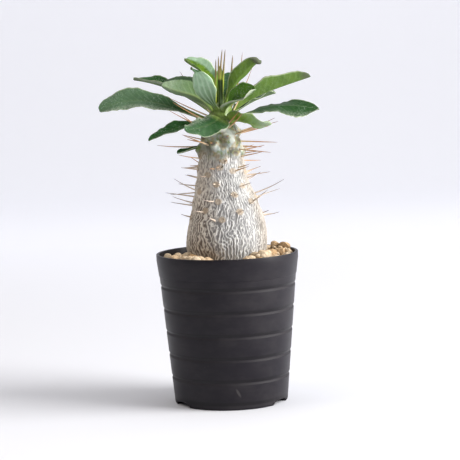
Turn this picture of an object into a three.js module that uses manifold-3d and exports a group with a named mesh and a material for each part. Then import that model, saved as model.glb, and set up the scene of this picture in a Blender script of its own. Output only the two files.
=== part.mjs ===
// Potted kudu lily: a swollen stem in a raised net of grey bark, with pairs of long spines and
// a crown of waved leaves, grown in a small black nursery pot filled with tan grit.
// Millimetres, +Z up. The origin is the centre of the flat underside of the pot, the resting
// plane is z = 0, and the side that is looked at faces -Y.

import * as THREE from 'three';
import { mergeVertices } from 'three/addons/utils/BufferGeometryUtils.js';
import Module from 'manifold-3d';

const wasm = await Module();
wasm.setup();

// Gap between pieces that rest on each other.
const GAP = 0.3;

// Pot: a thin moulded wall with rings, a rim band and a floor with drainage channels.
const POT_HEIGHT = 95;
const RIM_RADIUS = 45;
const FOOT_RADIUS = 36;
const POT_WALL = 1.4;
const POT_SIDES = 40;
const BAND_BOTTOM = 81;
const BAND_PROUD = 0.35;
const RING_COUNT = 5;
const RING_TOP = 75;
const RING_PITCH = 14.45;
const RING_DEPTH = 0.4;
const RING_HALF = 1.1;
const EDGE_ROUND = 0.7;
const LIP_ROUND = 0.45;
const CHANNEL_COUNT = 3;
const CHANNEL_START = 12;
const CHANNEL_WIDTH = 16;
const CHANNEL_HEIGHT = 2.8;
const DRAIN_RADIUS = 2.6;
const DRAIN_PLACES = [19, 28];

// Soil: one bed that rises and falls over a few mounds, with the granules that cover it grown
// into its top. The stem stands in a plain hole in it.
const BED_LEVEL = 88;
const MOUND_SIDES = 7;
const MOUND_FOOT = 1.9;
const STEM_CLEARANCE = 0.35;
const GRANULE_RINGS = [
  { radius: 28.4, count: 17 },
  { radius: 34.6, count: 20 },
  { radius: 40.2, count: 24 },
];
const GRANULE_SIZE = [3.0, 4.6];
const GRANULE_SCATTER = 0.8;
const GRANULE_TILT = 0.8;
const GRANULE_PROUD = [0.1, 0.5];
const HOLE_TOP = 125;
const MOUNDS = [
  { x: 35, y: 14, rise: 7.5, spread: 9.5 },
  { x: 20, y: -28, rise: 6.5, spread: 7 },
  { x: -18, y: -29, rise: 4.5, spread: 6.5 },
  { x: -32, y: -17, rise: 6, spread: 8 },
  { x: -4, y: 35, rise: 4, spread: 9 },
];

// Stem: rows of [height, radius, shift of the centre towards +X].
const STEM = [
  [58, 0, 0],
  [66, 12.5, 0],
  [78, 19.5, 0],
  [91, 23.8, -0.3],
  [101, 25.4, -0.2],
  [113, 24.2, 0.3],
  [127, 20.3, 0.2],
  [138, 16.7, -1.3],
  [154, 14.2, -2.0],
  [166, 12.2, -2.2],
  [175, 9.6, -1.7],
  [183, 6.8, -1.0],
  [188, 3.9, -0.6],
  [191, 0, -0.5],
];
const STEM_BOTTOM = 58;
const STEM_TOP = 191;

// Bark net: raised ridges that sway from side to side and meet their neighbours.
const BARK_RIDGES = 26;
const BARK_BOTTOM = 84;
const BARK_TOP = 161;
const BARK_ROWS = 30;
const BARK_HEIGHT = 1.0;
const BARK_MESH = 15;
const BARK_SWAY = 0.38;

// Leaf-base pads that carry the spines: [azimuth in degrees, height, height of the swelling].
const PADS = [
  [-97, 117.5, 0.7], [-68, 122, 0.7], [-40, 128, 0.8], [-12, 130, 0.8], [-127, 123, 0.7],
  [-103, 128.5, 0.9], [-71, 132.5, 0.9], [-165, 118, 0.6], [-176, 128, 0.8], [-146, 134.5, 0.8],
  [-104, 139, 0.9], [-45, 137.5, 0.9], [-175, 137.5, 0.8], [-124, 145, 0.9], [-64, 147, 0.9],
  [-22, 146, 0.9], [-94, 149.5, 0.9], [-168, 148.5, 0.9], [-84, 153.5, 1.4], [-150, 156.5, 1.7],
  [-52, 158, 1.9], [-12, 159, 1.7], [-174, 161, 2.0], [-108, 164.5, 2.0], [-32, 166, 2.3],
  [-75, 168, 2.2], [-140, 168, 2.2], [2, 171, 2.0], [-100, 174, 2.0],
];
const BACK_PADS = { count: 18, bottom: 117, top: 172, start: 20, turn: 137.5, low: 12, high: 168 };
const BACK_PAD_SWELLING = [0.6, 2.2];
const PAD_SPREAD = 2.5;
const PADS_START = 105;

// Spines of the side that is looked at: [azimuth and height of the root, x, y and z of the tip].
const SPINE_RADIUS = 0.75;
const SPINE_TIP_RADIUS = 0.16;
const SPINE_SIDES = 3;
const SPINE_ROOT_DEPTH = 1.5;
const SPINES = [
  [-6, 131.5, 37.8, -6, 140.8], [0, 127.5, 27, 2, 133.5], [-2, 119, 27.3, -3, 121],
  [-41, 126, 20.5, -23.5, 131], [-30, 127, 25, -19, 134], [-54, 136.5, 16.5, -22, 140],
  [-8, 141.5, 23, -4, 145.5], [2, 145, 23.5, 4, 148.5], [-58, 146.5, 15.3, -20, 150],
  [-42, 149, 16, -17, 151.5], [-12, 157, 21, -7, 158.5], [-22, 155.5, 24.5, -12, 158.5],
  [-35, 160.5, 29.9, -15, 157.9], [-10, 162, 24.6, -5, 161], [-8, 165, 34.3, -7, 163.7],
  [-4, 169.5, 35.4, -3, 176.9], [2, 170.5, 33.5, 4, 179], [-40, 169, 17.5, -16, 173.5],
  [-68, 174, 10.5, -18, 184.3], [-62, 173, 12.3, -24, 183.5],
  [-122, 163, -25, -22, 170.5], [-156, 165, -23, -10, 167.5], [-172, 162.5, -42.7, -6, 164.2],
  [-150, 155, -29, -14, 158.2], [-165, 150.5, -22, -6, 150.7], [-166, 148, -27.5, -9, 149.9],
  [-108, 148.5, -9.6, -21.5, 149.3], [-132, 144, -15.6, -17.5, 144.6],
  [-178, 137.5, -29.7, -3, 139.5], [170, 142, -24, 4, 144.5],
  [-176, 130.5, -38.3, -4, 134.1], [-172, 126.5, -33.6, -6, 131.8],
  [-112, 128.5, -14.2, -25.5, 130.4], [-132, 121.8, -20.4, -24, 124],
  [-108, 116.5, -11.6, -29.5, 120], [-166, 118, -28.4, -10, 120.8],
];
// Spines that stand round the growing point: [azimuth and height of the root, x, y and z of the tip].
const CROWN_SPINES = [
  [-98, 185, 0.9, -5, 223.3], [-91, 185, 2.8, -4.5, 223.2], [-140, 184, -3.3, -6, 217],
  [-100, 186.5, -1.6, -7, 219], [35, 184.5, 7.4, 7, 219.5], [15, 183, 13.6, 7, 221.5],
];
// The other pads bear two spines each, splayed to either side. Those of the back point straight
// out. Those of the bare pads in front, inside an arc and below a height, turn to the viewer.
const PAIR_OFFSET = 1.4;
const BACK_SPINES = { length: [12, 24], lift: [-4, 22], splay: 24, facing: 0, seed: 977 };
const FACING_SPINES = { length: [8, 13], lift: [0, 9], splay: 5, facing: 0.9, seed: 353 };
const FACING_PADS = { low: -118, high: -58, top: 170, clearTurn: 12, clearHeight: 4 };

// Leaves, from the viewer's left to the right, then those that hang in front, then round the
// back. Each has the height of its root on the stem; its rib, as two places a third and two
// thirds of the way along the midrib and then its tip; its width and the share of its length
// where it is widest; the roll of the blade about its midrib at the root and the turn it gains
// by the tip, and the fold of its left and right half above the flat, seen from above along the
// leaf (all in degrees); and the height and number of the ripples of its margins. Some have a
// more slender or fuller stalk end, a blunter or sharper point, a wider right half (lean) or
// ripples that start further on (phase) than the rest.
const LEAF_THICKNESS = 0.9;
const LEAF_STEP = 5.8;
const LEAF_COLUMNS = 4;
const KEEL_DEPTH = 1.1;
const CROWN_BOTTOM = 150;
const STALK_RATIO = 0.14;
const ROOT_DEPTH = 1.5;
const LEAF_SEAT = 0.7;
const TIP_HALF_WIDTH = 0.35;
const LEAF_DEFAULTS = { slender: 1.5, point: 0.6, lean: 0, phase: 0 };
const LEAVES = [
  { name: 'leaf_01', root: 179, rib: [[-31, -2, 187.5], [-54, -4, 192.5], [-77, -7, 186.5]],
    width: 17.5, widest: 0.64, point: 0.56, roll: 26, twist: 22,
    fold: [6, 6], wave: 0.8, waves: 3.2, lean: 0.2 },
  { name: 'leaf_02', root: 183, rib: [[-22.5, 12, 194.5], [-39.5, 20, 202], [-57, 27, 206]],
    width: 15, widest: 0.6, point: 0.7, roll: 10, twist: 4,
    fold: [32, 22], wave: 0.6, waves: 3 },
  { name: 'leaf_03', root: 183, rib: [[-15.5, -9, 193.5], [-26, -12, 197.5], [-37.5, -14, 202]],
    width: 21, widest: 0.5, point: 0.55, roll: -60, twist: -14,
    fold: [34, 60], wave: 0.5, waves: 2.5 },
  { name: 'leaf_04', root: 185, rib: [[-8, -14, 193], [-11.5, -18, 201.5], [-14.5, -21, 209.5]],
    width: 13.6, widest: 0.62, slender: 2.2, point: 0.45, roll: -25, twist: 0,
    fold: [2, 2], wave: 0.5, waves: 2.5 },
  { name: 'leaf_05', root: 187, rib: [[-6, 8, 203], [-14, 15, 211], [-23.5, 20, 217.5]],
    width: 16.5, widest: 0.76, point: 0.45, roll: 25, twist: 5,
    fold: [55, 10], wave: 0.5, waves: 3 },
  { name: 'leaf_06', root: 187, rib: [[6.5, -9, 199.5], [14.5, -15, 209.5], [24, -20, 215.5]],
    width: 14.5, widest: 0.66, slender: 2.2, point: 0.4, roll: 6, twist: 10,
    fold: [16, 16], wave: 0.4, waves: 2.5 },
  { name: 'leaf_07', root: 184, rib: [[4.5, -14, 189.5], [13, -18, 193], [20.5, -21, 198]],
    width: 20, widest: 0.6, point: 0.45, roll: -16, twist: -10,
    fold: [44, 16], wave: 0.8, waves: 2.5 },
  { name: 'leaf_08', root: 182, rib: [[17.5, 3, 191.5], [36, 9, 198.5], [56.5, 14, 204.5]],
    width: 18, widest: 0.52, roll: 25, twist: 10,
    fold: [70, 60], wave: 0.4, waves: 2.5, lean: -0.1 },
  { name: 'leaf_09', root: 179, rib: [[25, 3, 185.5], [42.5, 6, 186.5], [61.5, 8, 183.5]],
    width: 20, widest: 0.62, slender: 0.8, point: 1, roll: 30, twist: -66,
    fold: [4, -24], wave: 0.9, waves: 2, lean: 0.1, phase: 0.3 },
  { name: 'leaf_10', root: 177, rib: [[10, -10, 179.5], [18.5, -15, 176.5], [30, -18, 176]],
    width: 13.5, widest: 0.4, slender: 0.6, point: 0.9, roll: 34, twist: 10,
    fold: [14, 14], wave: 1, waves: 2.2 },
  { name: 'leaf_11', root: 181, rib: [[-5.5, -16, 178], [-14.5, -24, 175], [-23.5, -30, 174.5]],
    width: 17.5, widest: 0.42, slender: 0.7, point: 0.42, roll: 22, twist: 18,
    fold: [2, 2], wave: 1, waves: 2.2, lean: -0.12 },
  { name: 'leaf_12', root: 177, rib: [[-24.5, -8, 176], [-35.5, -11, 173], [-47, -14, 168]],
    width: 10, widest: 0.5, point: 1, roll: 24, twist: 10,
    fold: [14, 14], wave: 0.6, waves: 2.5 },
  { name: 'leaf_13', root: 162.5, rib: [[-18, -5, 162.5], [-23, -8, 161], [-29.5, -10, 159.5]],
    width: 4.4, widest: 0.8, slender: 2.5, point: 0.4, roll: 20, twist: 0,
    fold: [14, 14], wave: 0.2, waves: 1.5 },
  { name: 'leaf_14', root: 180.5, rib: [[12, 17, 186.5], [22, 29, 191], [34.5, 39, 194.5]],
    width: 17, widest: 0.66, roll: 0, twist: 8,
    fold: [16, 16], wave: 1, waves: 3 },
  { name: 'leaf_15', root: 184, rib: [[-7, 11, 196], [-11.5, 24, 205], [-20, 33, 212]],
    width: 14, widest: 0.66, roll: 0, twist: -8,
    fold: [20, 20], wave: 0.9, waves: 3 },
  { name: 'leaf_16', root: 187, rib: [[2.5, 9, 197], [4.5, 20, 204], [7, 29, 208]],
    width: 14, widest: 0.66, roll: 0, twist: 12,
    fold: [14, 14], wave: 1, waves: 3 },
  { name: 'leaf_17', root: 182, rib: [[-8.5, 18, 190], [-15.5, 36, 196.5], [-22, 53, 198]],
    width: 15, widest: 0.66, roll: 0, twist: 14,
    fold: [12, 12], wave: 1.2, waves: 3 },
  { name: 'leaf_18', root: 180, rib: [[-1, 22, 186], [-1.5, 42, 187.5], [-2, 62, 184]],
    width: 18, widest: 0.66, roll: 0, twist: -10,
    fold: [14, 14], wave: 1.2, waves: 3 },
  { name: 'leaf_19', root: 181, rib: [[5, 18, 189.5], [11, 34, 195.5], [17, 50, 198]],
    width: 13, widest: 0.66, roll: 0, twist: 6,
    fold: [14, 14], wave: 1, waves: 3 },
  { name: 'leaf_20', root: 176, rib: [[-7, 14, 178.5], [-9.5, 27, 178], [-12, 39, 173]],
    width: 14, widest: 0.66, roll: 0, twist: 6,
    fold: [14, 14], wave: 1, waves: 3 },
  { name: 'young_leaf_1', root: 188, rib: [[-1, 2, 195], [-1, 3, 203.5], [-1, 4, 212.5]],
    width: 6, widest: 0.5, roll: 0, twist: 0,
    fold: [46, 46], wave: 0.2, waves: 2 },
  { name: 'young_leaf_2', root: 187.5, rib: [[3.5, -0.5, 193.5], [5, -0.5, 198.5], [6.5, -0.5, 203]],
    width: 4.4, widest: 0.5, roll: 0, twist: 0,
    fold: [36, 36], wave: 0.2, waves: 2 },
].map((leaf) => ({ ...LEAF_DEFAULTS, ...leaf }));

const COLOURS = {
  pot: 0x2b292c,
  soil: 0xc9a878,
  stem: 0x9c968c,
  leaf: 0x4f7350,
  youngLeaf: 0x8fa55a,
};

const { degToRad, radToDeg, lerp, clamp, smoothstep } = THREE.MathUtils;

// Draws between 0 and 1 that are the same in every build.
function seededDraw(seed) {
  let state = seed;
  return () => {
    state = (state * 16807) % 2147483647;
    return state / 2147483647;
  };
}

// Value of a column at height z, on a smooth curve through rows that start with a height.
function along(rows, z, column) {
  let i = 0;
  while (i < rows.length - 2 && z > rows[i + 1][0]) i += 1;
  const slope = (k) => {
    const below = rows[Math.max(k - 1, 0)];
    const above = rows[Math.min(k + 1, rows.length - 1)];
    return (above[column] - below[column]) / (above[0] - below[0]);
  };
  const span = rows[i + 1][0] - rows[i][0];
  const s = clamp((z - rows[i][0]) / span, 0, 1);
  const ease = s * s * (3 - 2 * s);
  const lift = span * s * (1 - s) * ((1 - s) * slope(i) - s * slope(i + 1));
  return lerp(rows[i][column], rows[i + 1][column], ease) + lift;
}

// A solid for cutting and joining, from a closed geometry of any winding.
function solid(geometry) {
  const bare = geometry.clone();
  bare.deleteAttribute('normal');
  bare.deleteAttribute('uv');
  const merged = mergeVertices(bare, 1e-4);
  const position = merged.attributes.position;
  const corner = [new THREE.Vector3(), new THREE.Vector3(), new THREE.Vector3()];
  const triangles = [];
  let volume = 0;
  for (let i = 0; i < merged.index.count; i += 3) {
    const abc = [0, 1, 2].map((k) => merged.index.getX(i + k));
    if (new Set(abc).size === 3) {
      abc.forEach((vertex, k) => corner[k].fromBufferAttribute(position, vertex));
      volume += corner[0].dot(corner[1].cross(corner[2]));
      triangles.push(abc);
    }
  }
  const outward = volume > 0 ? triangles : triangles.map(([a, b, c]) => [a, c, b]);
  return new wasm.Manifold(new wasm.Mesh({
    numProp: 3,
    vertProperties: new Float32Array(position.array),
    triVerts: new Uint32Array(outward.flat()),
  }));
}

// The biggest connected body of a solid: scraps that a cut leaves loose are dropped.
function biggest(body) {
  return body.decompose().reduce((a, b) => (b.volume() > a.volume() ? b : a));
}

function geometryOf(body) {
  const mesh = body.getMesh();
  const geometry = new THREE.BufferGeometry();
  geometry.setAttribute('position', new THREE.BufferAttribute(mesh.vertProperties, 3));
  geometry.setIndex(new THREE.BufferAttribute(mesh.triVerts, 1));
  geometry.computeVertexNormals();
  return geometry;
}

// A profile of [radius, height] points turned about Z.
function turned(profile, sides) {
  const points = profile.map(([radius, z]) => new THREE.Vector2(radius, z));
  return new THREE.LatheGeometry(points, sides).rotateX(Math.PI / 2);
}

// Outer radius of the pot's tapered wall, below the rim band.
function potRadius(z) {
  return lerp(FOOT_RADIUS, RIM_RADIUS - BAND_PROUD, z / POT_HEIGHT);
}

function potOutside() {
  const profile = [[0, 0], [FOOT_RADIUS - EDGE_ROUND, 0], [potRadius(EDGE_ROUND), EDGE_ROUND]];
  for (let i = RING_COUNT - 1; i >= 0; i -= 1) {
    const z = RING_TOP - i * RING_PITCH;
    profile.push([potRadius(z - RING_HALF), z - RING_HALF]);
    profile.push([potRadius(z) - RING_DEPTH, z]);
    profile.push([potRadius(z + RING_HALF), z + RING_HALF]);
  }
  profile.push([potRadius(BAND_BOTTOM), BAND_BOTTOM]);
  profile.push([potRadius(BAND_BOTTOM) + BAND_PROUD, BAND_BOTTOM + BAND_PROUD]);
  profile.push([RIM_RADIUS, POT_HEIGHT - LIP_ROUND]);
  profile.push([RIM_RADIUS - LIP_ROUND, POT_HEIGHT]);
  profile.push([0, POT_HEIGHT]);
  return solid(turned(profile, POT_SIDES));
}

// An arched drainage channel, grown by a margin on its top, sides and inner end.
function channel(index, margin) {
  const half = CHANNEL_WIDTH / 2 + margin;
  const top = CHANNEL_HEIGHT + margin;
  const outline = new THREE.Shape();
  outline.moveTo(-half, -1);
  outline.lineTo(-half, 0);
  outline.lineTo(-half * 0.68, top * 0.7);
  outline.lineTo(-half * 0.34, top);
  outline.lineTo(half * 0.34, top);
  outline.lineTo(half * 0.68, top * 0.7);
  outline.lineTo(half, 0);
  outline.lineTo(half, -1);
  const length = FOOT_RADIUS + 4 - CHANNEL_START + margin;
  const azimuth = Math.PI / 2 + (index * 2 * Math.PI) / CHANNEL_COUNT;
  const bar = new THREE.ExtrudeGeometry(outline, { depth: length, bevelEnabled: false })
    .rotateX(Math.PI / 2)
    .rotateZ(Math.PI / 2 + azimuth)
    .translate(
      (CHANNEL_START - margin) * Math.cos(azimuth),
      (CHANNEL_START - margin) * Math.sin(azimuth),
      0,
    );
  return solid(bar);
}

// The space inside the pot, shrunk by a gap all round, up to a level.
function potInside(gap, level) {
  const floor = POT_WALL + gap;
  const radius = (z) => potRadius(z) - POT_WALL - gap;
  const profile = [[0, floor], [radius(floor), floor], [radius(level), level], [0, level]];
  let body = solid(turned(profile, POT_SIDES));
  for (let i = 0; i < CHANNEL_COUNT; i += 1) {
    body = body.subtract(channel(i, POT_WALL + gap));
  }
  return body;
}

function makePot() {
  const mouth = turned([
    [0, POT_HEIGHT - LIP_ROUND],
    [potRadius(POT_HEIGHT) - POT_WALL, POT_HEIGHT - LIP_ROUND],
    [potRadius(POT_HEIGHT) - POT_WALL + LIP_ROUND, POT_HEIGHT + 0.01],
    [0, POT_HEIGHT + 0.01],
  ], POT_SIDES);
  let body = potOutside().subtract(potInside(0, POT_HEIGHT)).subtract(solid(mouth));
  for (let i = 0; i < CHANNEL_COUNT; i += 1) {
    body = body.subtract(channel(i, 0));
    const azimuth = Math.PI / 2 + (i * 2 * Math.PI) / CHANNEL_COUNT;
    for (const place of DRAIN_PLACES) {
      const drain = new THREE.CylinderGeometry(DRAIN_RADIUS, DRAIN_RADIUS, 8, 10)
        .rotateX(Math.PI / 2)
        .translate(place * Math.cos(azimuth), place * Math.sin(azimuth), 3);
      body = body.subtract(solid(drain));
    }
  }
  return geometryOf(body);
}

// The stem's smooth envelope, grown by a margin, between two heights.
function stemEnvelope(margin, bottom, top) {
  const count = 16;
  const heights = Array.from({ length: count + 1 }, (_, i) => lerp(bottom, top, i / count));
  const profile = [
    [0, bottom],
    ...heights.map((z) => [along(STEM, z, 1) + margin, z]),
    [0, top],
  ];
  const geometry = turned(profile, BARK_RIDGES);
  const position = geometry.attributes.position;
  for (let i = 0; i < position.count; i += 1) {
    position.setX(i, position.getX(i) + along(STEM, position.getZ(i), 2));
  }
  return solid(geometry);
}

function soilHeight(x, y) {
  return MOUNDS.reduce((level, mound) => {
    const away = Math.hypot(x - mound.x, y - mound.y) / mound.spread;
    return level + mound.rise * Math.exp(-away * away / 2);
  }, BED_LEVEL);
}

// A mound of the bed, as a low cone under its granules.
function moundCone({ x, y, rise, spread }) {
  const base = BED_LEVEL - 1;
  return new THREE.ConeGeometry(MOUND_FOOT * spread, rise + 1, MOUND_SIDES)
    .rotateX(Math.PI / 2)
    .translate(x, y, base + (rise + 1) / 2);
}

// A granule: a chipped lump with its own size, stretch and turn, sunk in the bed below its middle.
function granule(x, y, draw) {
  const size = lerp(...GRANULE_SIZE, draw());
  const lump = new THREE.IcosahedronGeometry(size, 0);
  lump.scale(1, lerp(0.75, 1, draw()), lerp(0.65, 0.85, draw()));
  lump.rotateX(draw() * GRANULE_TILT).rotateZ(draw() * Math.PI * 2);
  return lump.translate(x, y, soilHeight(x, y) + size * lerp(...GRANULE_PROUD, draw()));
}

function makeSoil() {
  const draw = seededDraw(4127);
  let body = potInside(GAP, BED_LEVEL);
  for (const mound of MOUNDS) body = body.add(solid(moundCone(mound)));
  for (const ring of GRANULE_RINGS) {
    for (let i = 0; i < ring.count; i += 1) {
      const azimuth = ((i + GRANULE_SCATTER * draw()) * 2 * Math.PI) / ring.count;
      const radius = ring.radius + GRANULE_SCATTER * (2 * draw() - 1);
      const lump = granule(radius * Math.cos(azimuth), radius * Math.sin(azimuth), draw);
      body = body.add(solid(lump));
    }
  }
  const wallGap = potRadius(POT_HEIGHT) - POT_WALL - GAP;
  const room = potInside(GAP, POT_HEIGHT).add(solid(
    new THREE.CylinderGeometry(wallGap, wallGap, 12, POT_SIDES)
      .rotateY(-Math.PI / 2)
      .rotateX(Math.PI / 2)
      .translate(0, 0, POT_HEIGHT + 5.9),
  ));
  const margin = STEM_CLEARANCE + BARK_HEIGHT / 2;
  const hole = stemEnvelope(margin, STEM_BOTTOM - STEM_CLEARANCE, HOLE_TOP);
  return geometryOf(biggest(body.intersect(room).subtract(hole)));
}

// Pads of the side that is looked at, then those of the back in the plant's own spiral.
function allPads() {
  const pads = [...PADS];
  for (let i = 0; i < BACK_PADS.count; i += 1) {
    const share = i / (BACK_PADS.count - 1);
    const azimuth = BACK_PADS.low
      + ((BACK_PADS.start + i * BACK_PADS.turn) % 360) * ((BACK_PADS.high - BACK_PADS.low) / 360);
    const height = lerp(BACK_PADS.bottom, BACK_PADS.top, share);
    pads.push([azimuth, height, lerp(...BACK_PAD_SWELLING, share * share)]);
  }
  return pads;
}

const pads = allPads();

// Distance round and along the stem between a point of its surface and a pad.
function padDistance(azimuth, z, pad) {
  const turn = Math.atan2(Math.sin(azimuth - degToRad(pad[0])), Math.cos(azimuth - degToRad(pad[0])));
  return Math.hypot(turn * along(STEM, z, 1), z - pad[1]);
}

function padSwelling(azimuth, z) {
  return pads.reduce((sum, pad) => {
    const away = padDistance(azimuth, z, pad) / PAD_SPREAD;
    return sum + (away < 3 ? pad[2] * Math.exp(-away * away / 2) : 0);
  }, 0);
}

// Sideways sway of a ridge as a share of the distance between ridges.
function ridgeSway(ridge, z) {
  const side = ridge % 2 === 0 ? 1 : -1;
  const azimuth = (ridge * 2 * Math.PI) / BARK_RIDGES;
  const drift = 0.9 * Math.sin(2 * azimuth + z / 19) + 0.6 * Math.sin(5 * azimuth - z / 11);
  return side * BARK_SWAY * Math.cos((2 * Math.PI * z) / BARK_MESH + drift);
}

// Point of the stem's surface at a column of the bark grid and a height.
function stemPoint(column, z) {
  const pitch = (2 * Math.PI) / BARK_RIDGES;
  const ridge = Math.floor(column / 2);
  const strength = smoothstep(z, BARK_BOTTOM, BARK_BOTTOM + 6)
    * (1 - smoothstep(z, BARK_TOP - 16, BARK_TOP));
  let shift = ridgeSway(ridge, z);
  let relief = BARK_HEIGHT / 2;
  if (column % 2 === 1) {
    const next = ridgeSway((ridge + 1) % BARK_RIDGES, z);
    const opening = clamp((1 + next - shift) / (1 + 2 * BARK_SWAY), 0, 1);
    shift = (shift + next) / 2;
    relief = lerp(BARK_HEIGHT / 2, -BARK_HEIGHT / 2, smoothstep(opening, 0.1, 0.7));
  }
  const azimuth = -Math.PI / 2 + pitch * (column / 2 + shift * strength);
  const swelling = z > PADS_START ? padSwelling(azimuth, z) : 0;
  const radius = along(STEM, z, 1) + relief * strength + swelling;
  return [radius * Math.cos(azimuth) + along(STEM, z, 2), radius * Math.sin(azimuth), z];
}

function stemHeights() {
  const rootRows = [61, 66, 73];
  const barkRows = Array.from({ length: BARK_ROWS + 1 }, (_, i) => (
    lerp(BARK_BOTTOM, BARK_TOP, i / BARK_ROWS)
  ));
  const crownRows = [163.5, 166, 168.5, 171, 173.5, 176.5, 180, 184, 187.5, 189.8];
  return [...rootRows, ...barkRows, ...crownRows];
}

function stemBody() {
  const columns = 2 * BARK_RIDGES;
  const heights = stemHeights();
  const profile = [[0, STEM_BOTTOM], ...heights.map((z) => [1, z]), [0, STEM_TOP]];
  const geometry = turned(profile, columns);
  const position = geometry.attributes.position;
  for (let column = 0; column <= columns; column += 1) {
    heights.forEach((z, row) => {
      const vertex = column * profile.length + row + 1;
      position.setXYZ(vertex, ...stemPoint(column % columns, z));
    });
  }
  return solid(geometry);
}

// A straight spine from a root sunk in the stem to its tip.
function spine([azimuth, height, x, y, z]) {
  const angle = degToRad(azimuth);
  const depth = along(STEM, height, 1) - SPINE_ROOT_DEPTH;
  const root = new THREE.Vector3(
    depth * Math.cos(angle) + along(STEM, height, 2),
    depth * Math.sin(angle),
    height,
  );
  const tip = new THREE.Vector3(x, y, z);
  const length = root.distanceTo(tip);
  const needle = new THREE.CylinderGeometry(SPINE_TIP_RADIUS, SPINE_RADIUS, length, SPINE_SIDES)
    .translate(0, length / 2, 0);
  const aim = new THREE.Quaternion().setFromUnitVectors(
    new THREE.Vector3(0, 1, 0),
    tip.clone().sub(root).normalize(),
  );
  return needle.applyQuaternion(aim).translate(root.x, root.y, root.z);
}

// Two spines for each of the given pads.
function pairedSpines(bearers, { length, lift, splay, facing, seed }) {
  const draw = seededDraw(seed);
  return bearers.flatMap(([azimuth, height]) => [-1, 1].map((side) => {
    const reach = lerp(...length, draw());
    const heading = degToRad(lerp(azimuth, -90, facing) + side * splay);
    const rise = degToRad(lerp(...lift, draw()));
    const radius = along(STEM, height, 1);
    const angle = degToRad(azimuth) + (side * PAIR_OFFSET) / radius;
    return [
      radToDeg(angle),
      height,
      radius * Math.cos(angle) + along(STEM, height, 2) + reach * Math.cos(rise) * Math.cos(heading),
      radius * Math.sin(angle) + reach * Math.cos(rise) * Math.sin(heading),
      height + reach * Math.sin(rise),
    ];
  }));
}

// Pads in front from which no spine of the table grows.
function barePads() {
  const { low, high, top, clearTurn, clearHeight } = FACING_PADS;
  return PADS.filter(([azimuth, height]) => azimuth > low && azimuth < high && height < top
    && !SPINES.some((place) => (
      Math.abs(azimuth - place[0]) < clearTurn && Math.abs(height - place[1]) < clearHeight
    )));
}

function makeStem() {
  const spines = [
    ...SPINES,
    ...CROWN_SPINES,
    ...pairedSpines(pads.slice(PADS.length), BACK_SPINES),
    ...pairedSpines(barePads(), FACING_SPINES),
  ];
  const body = spines.reduce((grown, place) => grown.add(solid(spine(place))), stemBody());
  return geometryOf(biggest(body));
}

// Direction in which a leaf leaves the stem.
function leafAzimuth(leaf) {
  return Math.atan2(leaf.rib[0][1], leaf.rib[0][0] - along(STEM, leaf.root, 2));
}

// Midrib of a leaf: a smooth curve from its root inside the stem through the places of its rib.
function midribCurve(leaf) {
  const [first, second, tip] = leaf.rib.map((place) => new THREE.Vector3(...place));
  const azimuth = leafAzimuth(leaf);
  const depth = Math.max(along(STEM, leaf.root, 1) - ROOT_DEPTH, 0.4);
  const root = new THREE.Vector3(
    depth * Math.cos(azimuth) + along(STEM, leaf.root, 2),
    depth * Math.sin(azimuth),
    leaf.root,
  );
  const weigh = (a, b, c, d) => new THREE.Vector3()
    .addScaledVector(root, a / 6)
    .addScaledVector(first, b / 6)
    .addScaledVector(second, c / 6)
    .addScaledVector(tip, d / 6);
  return new THREE.CubicBezierCurve3(root, weigh(-5, 18, -9, 2), weigh(2, -9, 18, -5), tip);
}

// Frames along a leaf's midrib: point, side and upward axes at even shares t of its length.
function midrib(leaf, steps) {
  const curve = midribCurve(leaf);
  return Array.from({ length: steps + 1 }, (_, i) => {
    const t = i / steps;
    const ahead = curve.getTangentAt(t);
    const roll = degToRad(leaf.roll + leaf.twist * t);
    const flat = new THREE.Vector3(ahead.y, -ahead.x, 0).normalize();
    const lift = new THREE.Vector3().crossVectors(flat, ahead);
    const side = flat.clone().multiplyScalar(Math.cos(roll)).addScaledVector(lift, Math.sin(roll));
    const up = lift.multiplyScalar(Math.cos(roll)).addScaledVector(flat, -Math.sin(roll));
    return { t, point: curve.getPointAt(t), side, up };
  });
}

// Half of a leaf's width at t: a slender stalk that widens to a blunt blade past the middle.
function halfWidth(leaf, t) {
  const rise = Math.sin((Math.PI / 2) * Math.min(t / leaf.widest, 1) ** leaf.slender);
  const past = Math.max((t - leaf.widest) / (1 - leaf.widest), 0);
  const blade = t < leaf.widest ? rise : (1 - past * past) ** leaf.point;
  return (leaf.width / 2) * Math.hypot(blade, STALK_RATIO * (1 - t)) + TIP_HALF_WIDTH;
}

// Point of a leaf: v runs over the width from -1 to 1, and face is 1 on top and 0 below.
function leafPoint(leaf, frame, v, face) {
  const { t, point, side, up } = frame;
  const hand = Math.sign(v);
  const reach = Math.abs(v) * halfWidth(leaf, t) * (1 + leaf.lean * hand);
  const fold = degToRad(leaf.fold[v < 0 ? 0 : 1]);
  const start = 2 * Math.PI * leaf.phase + (v < 0 ? 1.9 : 0);
  const ripple = leaf.wave * v * v * Math.sin(2 * Math.PI * leaf.waves * t + start)
    * smoothstep(t, 0.1, 0.4);
  const keel = KEEL_DEPTH * (1 - Math.abs(v)) * (1 - t);
  const drop = face === 1 ? 0 : LEAF_THICKNESS + keel;
  return point.clone()
    .addScaledVector(side, hand * reach * Math.cos(fold))
    .addScaledVector(up, reach * Math.sin(fold) + ripple - drop);
}

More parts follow.
